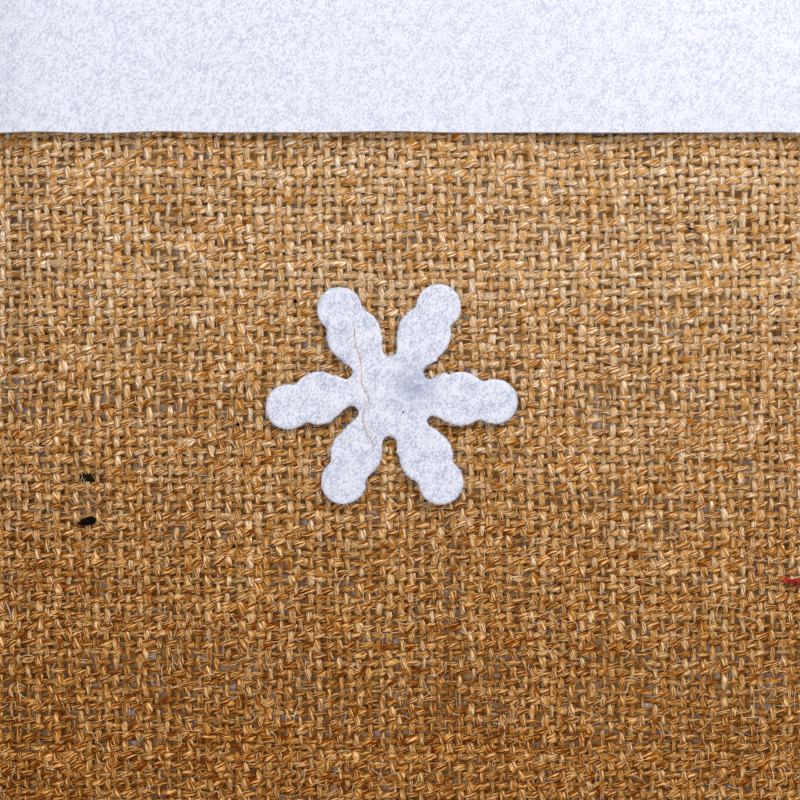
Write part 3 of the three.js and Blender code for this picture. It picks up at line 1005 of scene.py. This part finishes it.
def felt_noise(scale_share, detail):
    node = felt_mottle.nodes.new("ShaderNodeTexNoise")
    set_inputs(node, Detail=detail, Roughness=0.6)
    felt_mottle.links.new(lean.outputs["Vector"], node.inputs["Vector"])
    scale = math_node(felt_mottle, "MULTIPLY", entry.outputs["Grain"], scale_share)
    felt_mottle.links.new(scale, node.inputs["Scale"])
    return node.outputs["Fac"]


blotches = felt_noise(0.35, 3.0)
fluff = felt_noise(1.6, 2.0)
fluff_share = math_node(felt_mottle, "MULTIPLY", fluff, 0.68)
mottle = math_node(felt_mottle, "MULTIPLY_ADD", blotches, 0.32, fluff_share)
felt_mottle.links.new(remap(felt_mottle, mottle, 0.41, 0.59), exit_node.inputs["Mottle"])
felt_mottle.links.new(fluff, exit_node.inputs["Nap"])


def felt_material(name, grain, shade, pale):
    material, tree, shader = new_material(name, roughness=0.95, specular=0.15)
    set_inputs(shader, Sheen_Weight=0.25, Sheen_Roughness=0.5)
    felt = use_group(tree, felt_mottle, Vector=object_coordinates(tree), Grain=grain)
    colour = colour_ramp(tree, felt.outputs["Mottle"], [(0.0, shade), (0.7, pale), (1.0, pale)])
    bump(tree, shader, felt.outputs["Nap"], 0.6, 0.2 * MM)
    return material, tree, shader, colour


FELT_GRAIN = 1700.0
felt, tree, shader, colour = felt_material(
    "white_felt", FELT_GRAIN, (0.46, 0.495, 0.62), (0.66, 0.685, 0.79)
)
paint(tree, shader, colour)

# %% [markdown]
# The snowflake has been handled, so it has a greyer smudge by its middle and a tiny dark speck. Both
# are made from the distance to a place on the piece.

# %% Snowflake felt
SMUDGE = (5.4 * MM, 2.3 * MM)
SMUDGE_REACH = 6.5 * MM
SPECK = (2.7 * MM, -3.8 * MM)
SPECK_REACH = 0.2 * MM


def distance_to(tree, across, up):
    centred = tree.nodes.new("ShaderNodeVectorMath")
    centred.operation = "SUBTRACT"
    tree.links.new(object_coordinates(tree), centred.inputs[0])
    centred.inputs[1].default_value = (FLAKE.x + across, flake_low.y, FLAKE.z + up)
    length = tree.nodes.new("ShaderNodeVectorMath")
    length.operation = "LENGTH"
    tree.links.new(centred.outputs[0], length.inputs[0])
    return length.outputs["Value"]


flake_felt, tree, shader, colour = felt_material(
    "snowflake_felt", FELT_GRAIN, (0.40, 0.435, 0.57), (0.655, 0.68, 0.785)
)
smudge_shape = remap(tree, distance_to(tree, *SMUDGE), SMUDGE_REACH, 0.0)
smudge_grain = noise(tree, object_coordinates(tree), 500.0, 3.0)
smudge = math_node(tree, "MULTIPLY", smudge_shape, remap(tree, smudge_grain, 0.32, 0.52), clamp=True)
smudged = mix_colour(tree, math_node(tree, "MULTIPLY", smudge, 0.9), colour, (0.26, 0.29, 0.44))
speck = remap(tree, distance_to(tree, *SPECK), SPECK_REACH * 1.6, SPECK_REACH)
paint(tree, shader, mix_colour(tree, speck, smudged, (0.06, 0.05, 0.05)))

# %% [markdown]
# ## The snowflake
# It is cut from thin felt by hand: six arms with a wide round lobe and a narrower one at the tip,
# and a slot with a round end between each two. Discs and blocks give the lobes, a voxel remesh
# joins them into one skin, and a Smooth modifier rounds the cut edge and the inner corners, as
# scissors and soft felt do.

# %% Snowflake
FELT_T = flake_high.y - flake_low.y
CUT_T = 3 * FELT_T
HUB_R = 13.5 * MM
WAIST_HALF = 4.6 * MM
TIP_R = 5.2 * MM
SLOT_LENGTH = 14 * MM
FELT_VOXEL = 0.35 * MM
# Each arm, in degrees and millimetres: the angle and distance of its tip, then the angle, distance and
# radius of its wide lobe. It was cut by hand, so no two are alike.
ARMS = [
    (-3.3, 23.8, -2.6, 15.9, 6.2),
    (62.0, 23.05, 62.0, 16.0, 6.2),
    (121.0, 23.0, 121.8, 16.2, 6.3),
    (186.3, 23.7, 182.0, 16.5, 6.1),
    (240.9, 22.5, 238.7, 15.4, 5.9),
    (299.8, 22.8, 299.8, 16.0, 6.2),
]
# Each slot: the angle and distance of its round end, its half width, and the angle it opens at.
SLOTS = [
    (31.0, 10.3, 1.55, 29.0),
    (92.0, 10.5, 1.65, 91.0),
    (152.6, 11.7, 1.6, 152.0),
    (203.3, 9.9, 1.6, 222.0),
    (267.9, 11.0, 1.7, 270.0),
    (328.2, 11.2, 1.3, 332.0),
]

# %% [markdown]
# Discs and blocks are placed by an angle and a distance from the middle, as a paper snowflake is
# marked out. All the parts of one kind are joined before the remesh.

# %% Discs, blocks and modifiers
def polar(distance, degrees):
    angle = math.radians(degrees)
    return np.array([distance * math.cos(angle), distance * math.sin(angle)])


def flake_place(place):
    return (FLAKE.x + place[0], FLAKE.y, FLAKE.z + place[1])


def disc(place, radius, thickness):
    facing = (math.pi / 2, 0, 0)
    bpy.ops.mesh.primitive_cylinder_add(
        vertices=64, radius=radius, depth=thickness, location=flake_place(place), rotation=facing
    )
    return bpy.context.object


def bar(start, end, half, thickness):
    along = end - start
    turn = (0, -math.atan2(along[1], along[0]), 0)
    bpy.ops.mesh.primitive_cube_add(size=1, location=flake_place((start + end) / 2), rotation=turn)
    block = bpy.context.object
    block.scale = (np.linalg.norm(along), thickness, 2 * half)
    return block


def joined(name, parts):
    deselect()
    for part in parts:
        part.select_set(True)
    bpy.context.view_layer.objects.active = parts[0]
    bpy.ops.object.transform_apply(location=True, rotation=True, scale=True)
    bpy.ops.object.join()
    parts[0].name = name
    return parts[0]


def apply_modifier(piece, kind, **settings):
    select_only(piece)
    modifier = piece.modifiers.new(kind.lower(), kind)
    for name, value in settings.items():
        setattr(modifier, name, value)
    bpy.ops.object.modifier_apply(modifier=modifier.name)


# %% [markdown]
# The arms are joined into one skin, and the slots into another, which a Boolean takes away from it. A
# last remesh evens out the faces.

# %% Cutting the snowflake
deselect()
solid_parts = [disc((0, 0), HUB_R, FELT_T)]
for tip_angle, tip_at, lobe_angle, lobe_at, lobe_r in ARMS:
    tip = polar(tip_at * MM, tip_angle)
    lobe = polar(lobe_at * MM, lobe_angle)
    solid_parts.append(disc(lobe, lobe_r * MM, FELT_T))
    solid_parts.append(disc(tip, TIP_R, FELT_T))
    solid_parts.append(bar(lobe, tip, WAIST_HALF, FELT_T))
slot_parts = []
for end_angle, end_at, half, opens_at in SLOTS:
    end = polar(end_at * MM, end_angle)
    slot_parts.append(disc(end, half * MM, CUT_T))
    slot_parts.append(bar(end, end + polar(SLOT_LENGTH, opens_at), half * MM, CUT_T))
snowflake = joined("snowflake_cut_felt", solid_parts)
slots = joined("slots", slot_parts)
for piece in (snowflake, slots):
    apply_modifier(piece, "REMESH", mode="VOXEL", voxel_size=FELT_VOXEL)
apply_modifier(snowflake, "BOOLEAN", operation="DIFFERENCE", object=slots, solver="EXACT")
bpy.data.objects.remove(slots)
apply_modifier(snowflake, "REMESH", mode="VOXEL", voxel_size=FELT_VOXEL)
apply_modifier(snowflake, "SMOOTH", factor=0.5, iterations=6)
print("snowflake", triangles(snowflake))

# %% [markdown]
# Felt laid on coarse burlap isn't flat: it dips between the threads and its cut edge is a little
# fuzzy. Each point moves by a smooth pattern of its place, and then a very little at random.

# %% Felt unevenness
FELT_DIP = 0.16 * MM
FELT_FUZZ = 0.05 * MM


def mesh_points(piece):
    points = np.empty(len(piece.data.vertices) * 3)
    piece.data.vertices.foreach_get("co", points)
    return points.reshape(-1, 3)


def set_mesh_points(piece, points):
    piece.data.vertices.foreach_set("co", points.ravel())
    piece.data.update()


points = mesh_points(snowflake)
x = points[:, 0] / MM
z = points[:, 2] / MM
dip = np.sin(x * 0.9 + 1.3 * np.sin(z * 0.35)) + np.sin(z * 1.05 + 1.1 * np.sin(x * 0.4 + 1.0))
points[:, 1] += FELT_DIP * 0.5 * dip
rng = np.random.default_rng(41)
points += FELT_FUZZ * rng.standard_normal(points.shape) * [1, 0.3, 1]
set_mesh_points(snowflake, points)
finish_surface(snowflake, 180)
dress(snowflake, flake_felt, "snowflake")

# %% [markdown]
# A stray jute fibre lies across the snowflake, and short wisps of wool stand at its rim.

# %% A curve through points
# The stray fibre's way across the snowflake, in millimetres across and up from its middle.
STRAY = [
    *((-8.4, 15.5), (-8.2, 11.9), (-7.0, 8.4), (-6.8, 5.4), (-6.7, 2.8), (-5.1, -0.8)),
    *((-5.9, -2.8), (-6.6, -4.9), (-5.9, -7.5), (-4.9, -9.5), (-3.8, -11.4)),
]
STRAY_OUT = 0.12 * MM
STRAY_RADIUS = 0.055 * MM
WISP_RADIUS = 0.03 * MM
WISPS = 700
WISP_LENGTHS = (0.25, 0.9)


def smooth_path(points, per_span):
    """A Catmull-Rom curve through points."""
    points = np.asarray(points, float)
    first = 2 * points[0] - points[1]
    last = 2 * points[-1] - points[-2]
    padded_points = np.concatenate([[first], points, [last]])
    t = np.linspace(0, 1, per_span, endpoint=False)[:, None]
    spans = []
    for i in range(len(points) - 1):
        before, start, end, after = padded_points[i : i + 4]
        square = (2 * before - 5 * start + 4 * end - after) * t**2
        cube = (3 * start - before - 3 * end + after) * t**3
        spans.append(0.5 * (2 * start + (end - before) * t + square + cube))
    return np.concatenate(spans + [points[-1:]])


# %% [markdown]
# The fibre lies just clear of the felt and follows a line of listed points.

# %% The stray fibre
flat_stray = smooth_path(np.array(STRAY) * MM, 4)
stray_y = np.full(len(flat_stray), flake_low.y - STRAY_OUT)
stray_centre = np.stack([FLAKE.x + flat_stray[:, 0], stray_y, FLAKE.z + flat_stray[:, 1]], axis=-1)
stray_run = Run(stray_centre, (0, -1, 0), STRAY_RADIUS, STRAY_RADIUS, tone=0.35)
dress(tube_mesh("stray_fibre", [stray_run], 6), fibre_material)

# %% [markdown]
# Wisps start inside the felt, so that none floats, and lean away from its rim at random.

# %% Wisps at the rim
rng = np.random.default_rng(42)
rim_points = mesh_points(snowflake)
normals = np.array([vertex.normal for vertex in snowflake.data.vertices])
rim = np.flatnonzero(np.abs(normals[:, 1]) < 0.6)
wisps = []
for number in rng.choice(rim, WISPS):
    start = rim_points[number]
    direction = unit(normals[number] * [1, 0.2, 1] + rng.normal(0, 0.7, 3) * [1, 0.3, 1])
    length = rng.uniform(*WISP_LENGTHS) * MM
    t = np.linspace(-0.3, 1, 4)[:, None]
    bend = rng.normal(0, 0.25, 3) * [1, 0.3, 1]
    centre = start + direction * length * t + bend * length * t**2
    wisps.append(Run(centre, (0, -1, 0), WISP_RADIUS, WISP_RADIUS))
dress(tube_mesh("snowflake_rim_wisps", wisps, 3), felt)

# %% [markdown]
# ## The cuff
# The cuff is thick felt folded over the mouth. Each half is one sheet whose profile runs from the
# lip, round the fold and down to a cut edge. The same profile is repeated across the leg, and
# slow waves grow towards the free edge, as felt that hangs.

# %% Cuff
CUFF_T = 1.6 * MM
CUFF_DROP = 1.8 * MM
CUFF_SEAM_GAP = 0.25 * MM
CUFF_BULGE = -cuff_low.y - CUFF_SEAM_GAP - CUFF_T
CUFF_BULGE_POWER = 0.75
CUFF_RUN = 24 * MM
CUFF_WAVE = 0.35 * MM
CUFF_EDGE_WANDER = 0.1 * MM
FOLD_R = 0.85 * MM
FOLD_SETTLE = 0.15 * MM
LIP_CLEAR = 0.2 * MM
CUFF_COLUMNS = 110
CUFF_ROWS = 26


def cuff_hollow(u):
    return CUFF_SEAM_GAP + CUFF_BULGE * rise(CUFF_HALF - np.abs(u), CUFF_RUN) ** CUFF_BULGE_POWER


# %% [markdown]
# Each row of points is added twice, to the outer face and to the inner one, so the felt keeps its
# thickness over the lip, round the fold and down the drop.

# %% Both halves of the cuff
def cuff(word, side, seed):
    rng = np.random.default_rng(seed)
    u = CUFF_HALF * np.sin(np.pi / 2 * np.linspace(-1, 1, CUFF_COLUMNS))
    lip = hollow(u, np.full_like(u, MOUTH_Z), LINING_INSET)
    flap = cuff_hollow(u)
    lip = np.minimum(lip, flap - LIP_CLEAR)
    wave = smooth_random(rng, (CUFF_COLUMNS,), (60,))
    edge = CUFF_EDGE_WANDER * smooth_random(rng, (CUFF_COLUMNS,), (12,))
    depth_out, height_out, depth_in, height_in = [], [], [], []
    low_z = MOUTH_Z - CUFF_T
    # The lip's two faces, from its inner edge towards the fold.
    for share in (0.0, 0.5, 1.0):
        depth_out.append(lip + (flap + CUFF_T - FOLD_R - lip) * share)
        height_out.append(np.full_like(u, MOUTH_Z))
        depth_in.append(lip + (flap - lip) * share)
        height_in.append(np.full_like(u, low_z))
    # The fold's outer face is a quarter circle, and its inner face is a sharp corner.
    for turn in np.linspace(0, np.pi / 2, 6)[1:]:
        depth_out.append(flap + CUFF_T - FOLD_R + FOLD_R * np.sin(turn))
        height_out.append(np.full_like(u, MOUTH_Z - FOLD_R + FOLD_R * np.cos(turn)))
        depth_in.append(flap + 0 * u)
        height_in.append(np.full_like(u, low_z - FOLD_SETTLE * turn))
    top_out = MOUTH_Z - FOLD_R
    top_in = low_z - FOLD_SETTLE * np.pi / 2
    for share in np.linspace(0, 1, CUFF_ROWS)[1:]:
        billow = CUFF_WAVE * wave * share**2
        depth_out.append(flap + CUFF_T + billow)
        height_out.append(top_out + (CUFF_END_Z - CUFF_DROP + edge - top_out) * share)
        depth_in.append(flap + billow)
        height_in.append(top_in + (CUFF_END_Z - CUFF_DROP + edge - top_in) * share)
    across = MIDDLE_X + np.broadcast_to(u, (len(depth_out), CUFF_COLUMNS))
    outer = np.stack([across, side * np.array(depth_out), np.array(height_out)], axis=-1)
    inner = np.stack([across, side * np.array(depth_in), np.array(height_in)], axis=-1)
    piece = grid_sheet(word + "_cuff_felt", outer, inner)
    dress(piece, felt, "cuff_" + word)


cuff("front", -1, 51)
cuff("back", 1, 52)

# %% [markdown]
# ## Plied yarn and twine
# Yarn is two plies and twine is three, wound round each other. One function winds any number of
# plies round a path: each ply is a run at a small distance from the path, at an angle that turns
# steadily. The path's own frame is carried along it without twisting.

# %% Winding plies
PLY_TONE = 0.25
PLY_WIDENED = 1.12


def plies(path, diameter, count, pitch, step, tone=0.0):
    path = np.asarray(path, float)
    length = np.concatenate([[0], np.cumsum(np.linalg.norm(np.diff(path, axis=0), axis=1))])
    rings = max(int(length[-1] / step), 4)
    at = np.linspace(0, length[-1], rings)
    centre = np.stack([np.interp(at, length, path[:, axis]) for axis in range(3)], axis=-1)
    along_path = unit(np.gradient(centre, axis=0))
    side = np.cross(along_path[0], (0.3, 0.9, 0.2))
    sides = []
    for direction in along_path:
        side = side - direction * np.dot(side, direction)
        side = side / np.linalg.norm(side)
        sides.append(side)
    sides = np.array(sides)
    ups = np.cross(along_path, sides)
    ply_radius = diameter / 2 / (1 + 1 / math.sin(math.pi / count)) if count > 2 else diameter / 4
    offset = diameter / 2 - ply_radius
    runs = []
    for ply in range(count):
        angle = 2 * np.pi * (at / pitch + ply / count)
        out = sides * np.cos(angle)[:, None] + ups * np.sin(angle)[:, None]
        values = {"tone": tone + PLY_TONE * ply, "crest": 0.8}
        runs.append(Run(centre + out * offset, out, ply_radius * PLY_WIDENED, ply_radius, **values))
    return runs


# %% [markdown]
# Yarn and twine share one finish in different colours: the fibre streaks, with a tone for each ply.
# The yarn's fibres wind the other way from the twine's, and it is a little duller.

# %% Yarn and twine materials
def plied_material(name, stops, specular, twist):
    material, tree, shader = new_material(name, roughness=0.85, specular=specular)
    along, around = uv_parts(tree)
    fibres = use_group(
        tree, fibre_streaks, Along=along, Round=around, Twist=twist, Stretch=4.0, Fineness=1.6
    )
    streak = fibres.outputs["Streak"]
    shade = math_node(tree, "MULTIPLY_ADD", attribute(tree, "tone"), 0.15, streak)
    paint(tree, shader, colour_ramp(tree, shade, stops))
    bump(tree, shader, streak, 0.8, 0.2 * MM)
    return material


RED = [(0.0, (0.16, 0.004, 0.004)), (0.5, (0.55, 0.018, 0.012)), (1.0, (0.80, 0.07, 0.045))]
JUTE = [(0.0, (0.10, 0.05, 0.015)), (0.5, (0.40, 0.23, 0.09)), (1.0, (0.74, 0.54, 0.32))]
red_yarn = plied_material("red_yarn", RED, 0.25, -2.5)
jute_twine = plied_material("jute_twine", JUTE, 0.3, 1.0)

# %% [markdown]
# ## Whip stitches
# Red yarn closes the edge. It comes out of a hole in the front, goes over the edge at a slant and
# into the back. Places at equal steps round the outline give each stitch its point and the
# direction inwards. A hand doesn't sew evenly, so holes wander a little and one stitch on the
# heel's side reaches much deeper than the rest.

# %% Places round the edge
YARN_D = 1.5 * MM
STITCH_STEP = 12 * MM
STITCH_BITE = 4.3 * MM
BITE_SPREAD = 0.3 * MM
STITCH_SLANT = 3.2 * MM
SLANT_SHARES = (0.75, 1.15)
YARN_TONES = (-0.6, 0.6)
EDGE_CLEAR = 1.0 * MM
YARN_PITCH = 3.4 * MM
YARN_RING = 0.62 * MM
YARN_SIDES = 7
LONG_STITCH_Z = FLAKE.z - 41.5 * MM
LONG_STITCH_BITE = 10.4 * MM
LONG_STITCH_SLANT = -STITCH_SLANT * 0.55
LONG_STITCH_SHIFT = 5.5 * MM


def edge_line(top_z):
    line = [(-LEG_HALF, top_z), (-LEG_HALF, INSTEP_Z)]

    def arc(x, z, radius, start, end):
        for angle in np.linspace(start, end, 30)[1:]:
            line.append((x + radius * math.cos(angle), z + radius * math.sin(angle)))

    arc(-LEG_HALF - INSTEP_R, INSTEP_Z, INSTEP_R, 0, -INSTEP_TURN)
    arc(TOE_X, TOE_Z, TOE_R, math.pi - INSTEP_TURN, 1.5 * math.pi)
    arc(HEEL_X, HEEL_Z, HEEL_R, 1.5 * math.pi, 2 * math.pi)
    line.append((LEG_HALF, top_z))
    return np.array(line)


def places_along(line, step):
    length = np.concatenate([[0], np.cumsum(np.linalg.norm(np.diff(line, axis=0), axis=1))])
    at = np.arange(step / 2, length[-1], step)
    points = np.stack([np.interp(at, length, line[:, axis]) for axis in range(2)], axis=-1)
    ahead = np.stack([np.interp(at + 0.1 * MM, length, line[:, axis]) for axis in range(2)], axis=-1)
    along_line = unit(ahead - points)
    inward = np.stack([-along_line[:, 1], along_line[:, 0]], axis=-1)
    return list(zip(points, along_line, inward))


# %% [markdown]
# A stitch is a smooth path through a few points: out of its hole, over the front, round the edge,
# and the same behind. The yarn stands half its thickness off the cloth and only dives at its ends.

# %% Sewing
# For each point of the yarn on one side: how far in it is, as a share of the bite, and how proud of the
# cloth the yarn's middle stands, as a share of its radius.
PROUD = ((1.0, -0.9), (0.92, 0.5), (0.6, 1.0), (0.25, 0.95))


def stitch_path(place, depth_at, bite, slant):
    point, along_line, inward = place
    knots = []
    for side in (-1, 1):
        holes = []
        for share, proud in PROUD:
            u, z = point + inward * bite * share + along_line * slant * side * share
            lift = YARN_D / 2 * proud
            holes.append((u, side * (depth_at(u, z) + lift), z))
        knots.append(holes)
    edge_u, edge_z = point - inward * EDGE_CLEAR
    path = knots[0] + [(edge_u, 0, edge_z)] + knots[1][::-1]
    path = smooth_path(np.array(path), 4)
    path[:, 0] += MIDDLE_X
    return path


def panel_outside(u, z):
    return float(panel_depth(np.array(u), np.array(z))) + CLOTH_HALF


def cuff_outside(u, z):
    return float(cuff_hollow(np.array(u))) + CUFF_T


def sew(name, places, depth_at, node, seed):
    rng = np.random.default_rng(seed)
    runs = []
    for place in places:
        bite = STITCH_BITE + rng.normal(0, BITE_SPREAD)
        slant = STITCH_SLANT * rng.uniform(*SLANT_SHARES)
        on_leg = place[0][0] > HEEL_X and depth_at is panel_outside
        if on_leg and abs(place[0][1] - LONG_STITCH_Z) < STITCH_STEP / 2:
            bite = LONG_STITCH_BITE
            slant = LONG_STITCH_SLANT
            place = (place[0] - place[1] * LONG_STITCH_SHIFT, place[1], place[2])
        path = stitch_path(place, depth_at, bite, slant)
        runs += plies(path, YARN_D, 2, YARN_PITCH, YARN_RING, rng.uniform(*YARN_TONES))
    piece = tube_mesh(name, runs, YARN_SIDES)
    dress(piece, red_yarn, node)
    print(name, len(places), "stitches,", triangles(piece), "triangles")


# %% [markdown]
# The places round the edge are shared out to the four parts of the seam, and the cuff's two sides are
# sewn last with the same stitch.

# %% All the seams
edge_places = places_along(edge_line(CUFF_END_Z - STITCH_STEP / 4), STITCH_STEP)
sides_of_leg = {
    "instep_side": [p for p in edge_places if p[0][0] < HEEL_X and p[0][1] > RUN_END_Z],
    "toe": [p for p in edge_places if p[0][0] < TOE_X and p[0][1] <= RUN_END_Z],
    "sole": [p for p in edge_places if TOE_X <= p[0][0] <= HEEL_X and p[0][1] < TOE_Z],
    "heel_side": [p for p in edge_places if p[0][0] > HEEL_X],
}
for seed, (word, places) in enumerate(sides_of_leg.items(), 61):
    sew(word + "_yarn", places, panel_outside, word + "_stitches", seed)
cuff_top = MOUTH_Z - STITCH_STEP / 2
for word, edge in (("toe", -1), ("heel", 1)):
    heights = (cuff_top, CUFF_END_Z) if edge < 0 else (CUFF_END_Z, cuff_top)
    cuff_line = np.array([(edge * CUFF_HALF, height) for height in heights])
    cuff_places = places_along(cuff_line, STITCH_STEP)
    name = "cuff_%s_side" % word
    sew(name + "_yarn", cuff_places, cuff_outside, name + "_stitches", 65 + edge)

# %% [markdown]
# ## Hanging loop
# The loop is one length of three-ply jute twine. It is doubled, knotted with an overhand knot, and
# its two ends are tacked inside the mouth. The knot is a trefoil, which is the shape an overhand
# knot pulls into, wound with the same plies.

# %% Loop, knot and ends
loop_low, loop_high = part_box("hanging_loop")
knot_low, knot_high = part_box("loop_knot")
end_low, end_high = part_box("loop_end_right")
TWINE_D = 3.2 * MM
BIGHT_R = (loop_high.x - loop_low.x) / 2 - TWINE_D / 2
BIGHT_Z = loop_high.z - TWINE_D / 2 - BIGHT_R
STRAND_X = (end_low.x + end_high.x) / 2
LOOP_FOOT_Z = loop_low.z
KNOT = (knot_low + knot_high) / 2
STRAND_DEPTH = end_high.y - TWINE_D / 2
TWINE_PITCH = 9 * MM
TWINE_RING = 0.8 * MM
TWINE_SIDES = 9
KNOT_SCALE = 1.42 * MM
KNOT_CROSS = 1.55 * MM


def twine_piece(name, path, body, node, diameter=TWINE_D):
    piece = tube_mesh(name, plies(path, diameter, 3, TWINE_PITCH, TWINE_RING), TWINE_SIDES)
    dress(piece, jute_twine, node, body)


# %% [markdown]
# The loop's two strands lean out from the knot to the round top, and the ends run from the knot down
# inside the mouth.

# %% The twine's three parts
lean = math.asin((BIGHT_R - STRAND_X) / (BIGHT_Z - LOOP_FOOT_Z))
strand_span = [BIGHT_R * math.cos(lean) - STRAND_X, 0, BIGHT_Z - LOOP_FOOT_Z]
right_strand = np.linspace(0, 1, 20)[:-1, None] * strand_span + [STRAND_X, 0, LOOP_FOOT_Z]
turn = np.linspace(-lean / 2, math.pi + lean / 2, 40)
bight = np.stack([BIGHT_R * np.cos(turn), 0 * turn, BIGHT_Z + BIGHT_R * np.sin(turn)], axis=-1)
left_strand = right_strand[::-1] * [-1, 1, 1]
loop_path = np.concatenate([right_strand, bight, left_strand])
twine_piece("twine_loop", loop_path, "loop", "hanging_loop")

t = np.linspace(0, 2 * np.pi, 120)
trefoil = np.stack(
    [
        KNOT_SCALE * (np.sin(t) + 2 * np.sin(2 * t)),
        KNOT_CROSS * np.sin(3 * t),
        KNOT_SCALE * (np.cos(t) - 2 * np.cos(2 * t)),
    ],
    axis=-1,
)
twine_piece("twine_knot", trefoil + np.array(KNOT), "knot", "loop_knot", TWINE_D * 0.95)

for word, edge in (("left", -1), ("right", 1)):
    x = edge * STRAND_X
    end_path = smooth_path(
        [
            (x, 0, end_high.z),
            (x, STRAND_DEPTH * 0.3, (end_high.z + MOUTH_Z) / 2),
            (x, STRAND_DEPTH * 0.85, MOUTH_Z),
            (x, STRAND_DEPTH, MOUTH_Z - 2 * TWINE_D),
            (x, STRAND_DEPTH, end_low.z),
        ],
        8,
    )
    twine_piece("twine_end_" + word, end_path, "stocking", "loop_end_" + word)

# %% [markdown]
# Two short stitches of the same yarn hold the ends of the twine to the back.

# %% Tacks across the twine ends
TACK_D = 1 * MM
TACK_END = 0.6 * MM
TACK_FACE = 0.4 * MM
for word in ("lower", "upper"):
    tack_low, tack_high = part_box("loop_tack_" + word)
    tack_z = (tack_low.z + tack_high.z) / 2
    front_y = tack_low.y + TACK_D / 2
    tack_path = smooth_path(
        [
            (tack_low.x + TACK_D / 2, tack_high.y, tack_z - TACK_END),
            (tack_low.x + TACK_D, front_y, tack_z - TACK_FACE),
            (tack_high.x - TACK_D, front_y, tack_z + TACK_FACE),
            (tack_high.x - TACK_D / 2, tack_high.y, tack_z + TACK_END),
        ],
        5,
    )
    tack_plies = plies(tack_path, TACK_D, 2, YARN_PITCH, YARN_RING)
    tack = tube_mesh("tack_yarn_" + word, tack_plies, YARN_SIDES)
    dress(tack, red_yarn, "loop_tack_" + word)

# %% [markdown]
# ## Husks
# A few dark bits of husk are caught in the cloth. Each starts as an icosphere, which is drawn out to
# a seed, narrowed at one end and roughened, so that it catches no smooth light.

# %% Bits of husk
HUSKS = [
    # across and up from the snowflake's middle, half length, half width (millimetres), turn (degrees)
    (-69.7, -28.8, 2.15, 1.05, 14),
    (-22.1, 21.6, 0.55, 0.45, 30),
    (-35.2, -6.6, 0.5, 0.4, 0),
    (68.4, 38.3, 1.2, 0.22, -18),
]
HUSK_FLATTENED = 0.7
HUSK_OUT = 0.25 * MM
rng = np.random.default_rng(71)
husks = []
for across, up, half_long, half_wide, turn in HUSKS:
    bpy.ops.mesh.primitive_ico_sphere_add(subdivisions=3, radius=1)
    husk = bpy.context.object
    points = mesh_points(husk)
    taper = 0.42 + 0.58 / (1 + np.exp(-4 * (points[:, 0] + 0.35)))
    rough = 1 + 0.07 * rng.standard_normal(len(points))
    half = (half_long, half_wide * HUSK_FLATTENED, half_wide)
    long_way, depth_way, wide_way = (points * half * MM * rough[:, None]).T
    wide_way = wide_way * taper
    angle = math.radians(turn)
    place_u = FLAKE.x + across * MM
    place_z = FLAKE.z + up * MM
    front_y = -panel_outside(place_u - MIDDLE_X, place_z) - HUSK_OUT
    husk_x = place_u + long_way * math.cos(angle) - wide_way * math.sin(angle)
    husk_z = place_z + long_way * math.sin(angle) + wide_way * math.cos(angle)
    set_mesh_points(husk, np.stack([husk_x, depth_way + front_y, husk_z], axis=-1))
    husks.append(husk)
husk_piece = joined("husk_bits", husks)
finish_surface(husk_piece, 30)
HUSK_BLACK = [(0.35, (0.001, 0.001, 0.001)), (0.75, (0.008, 0.005, 0.004))]
husk_material, tree, shader = new_material("husk", roughness=0.8, specular=0.03)
husk_noise = noise(tree, object_coordinates(tree), 2500.0, 2.0)
paint(tree, shader, colour_ramp(tree, husk_noise, HUSK_BLACK))
bump(tree, shader, husk_noise, 0.5, 0.2 * MM)
dress(husk_piece, husk_material)

# %% [markdown]
# ## The finished model
# All the pieces are made, and the scene is brought up to date.

# %% Bring the scene up to date
bpy.context.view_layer.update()
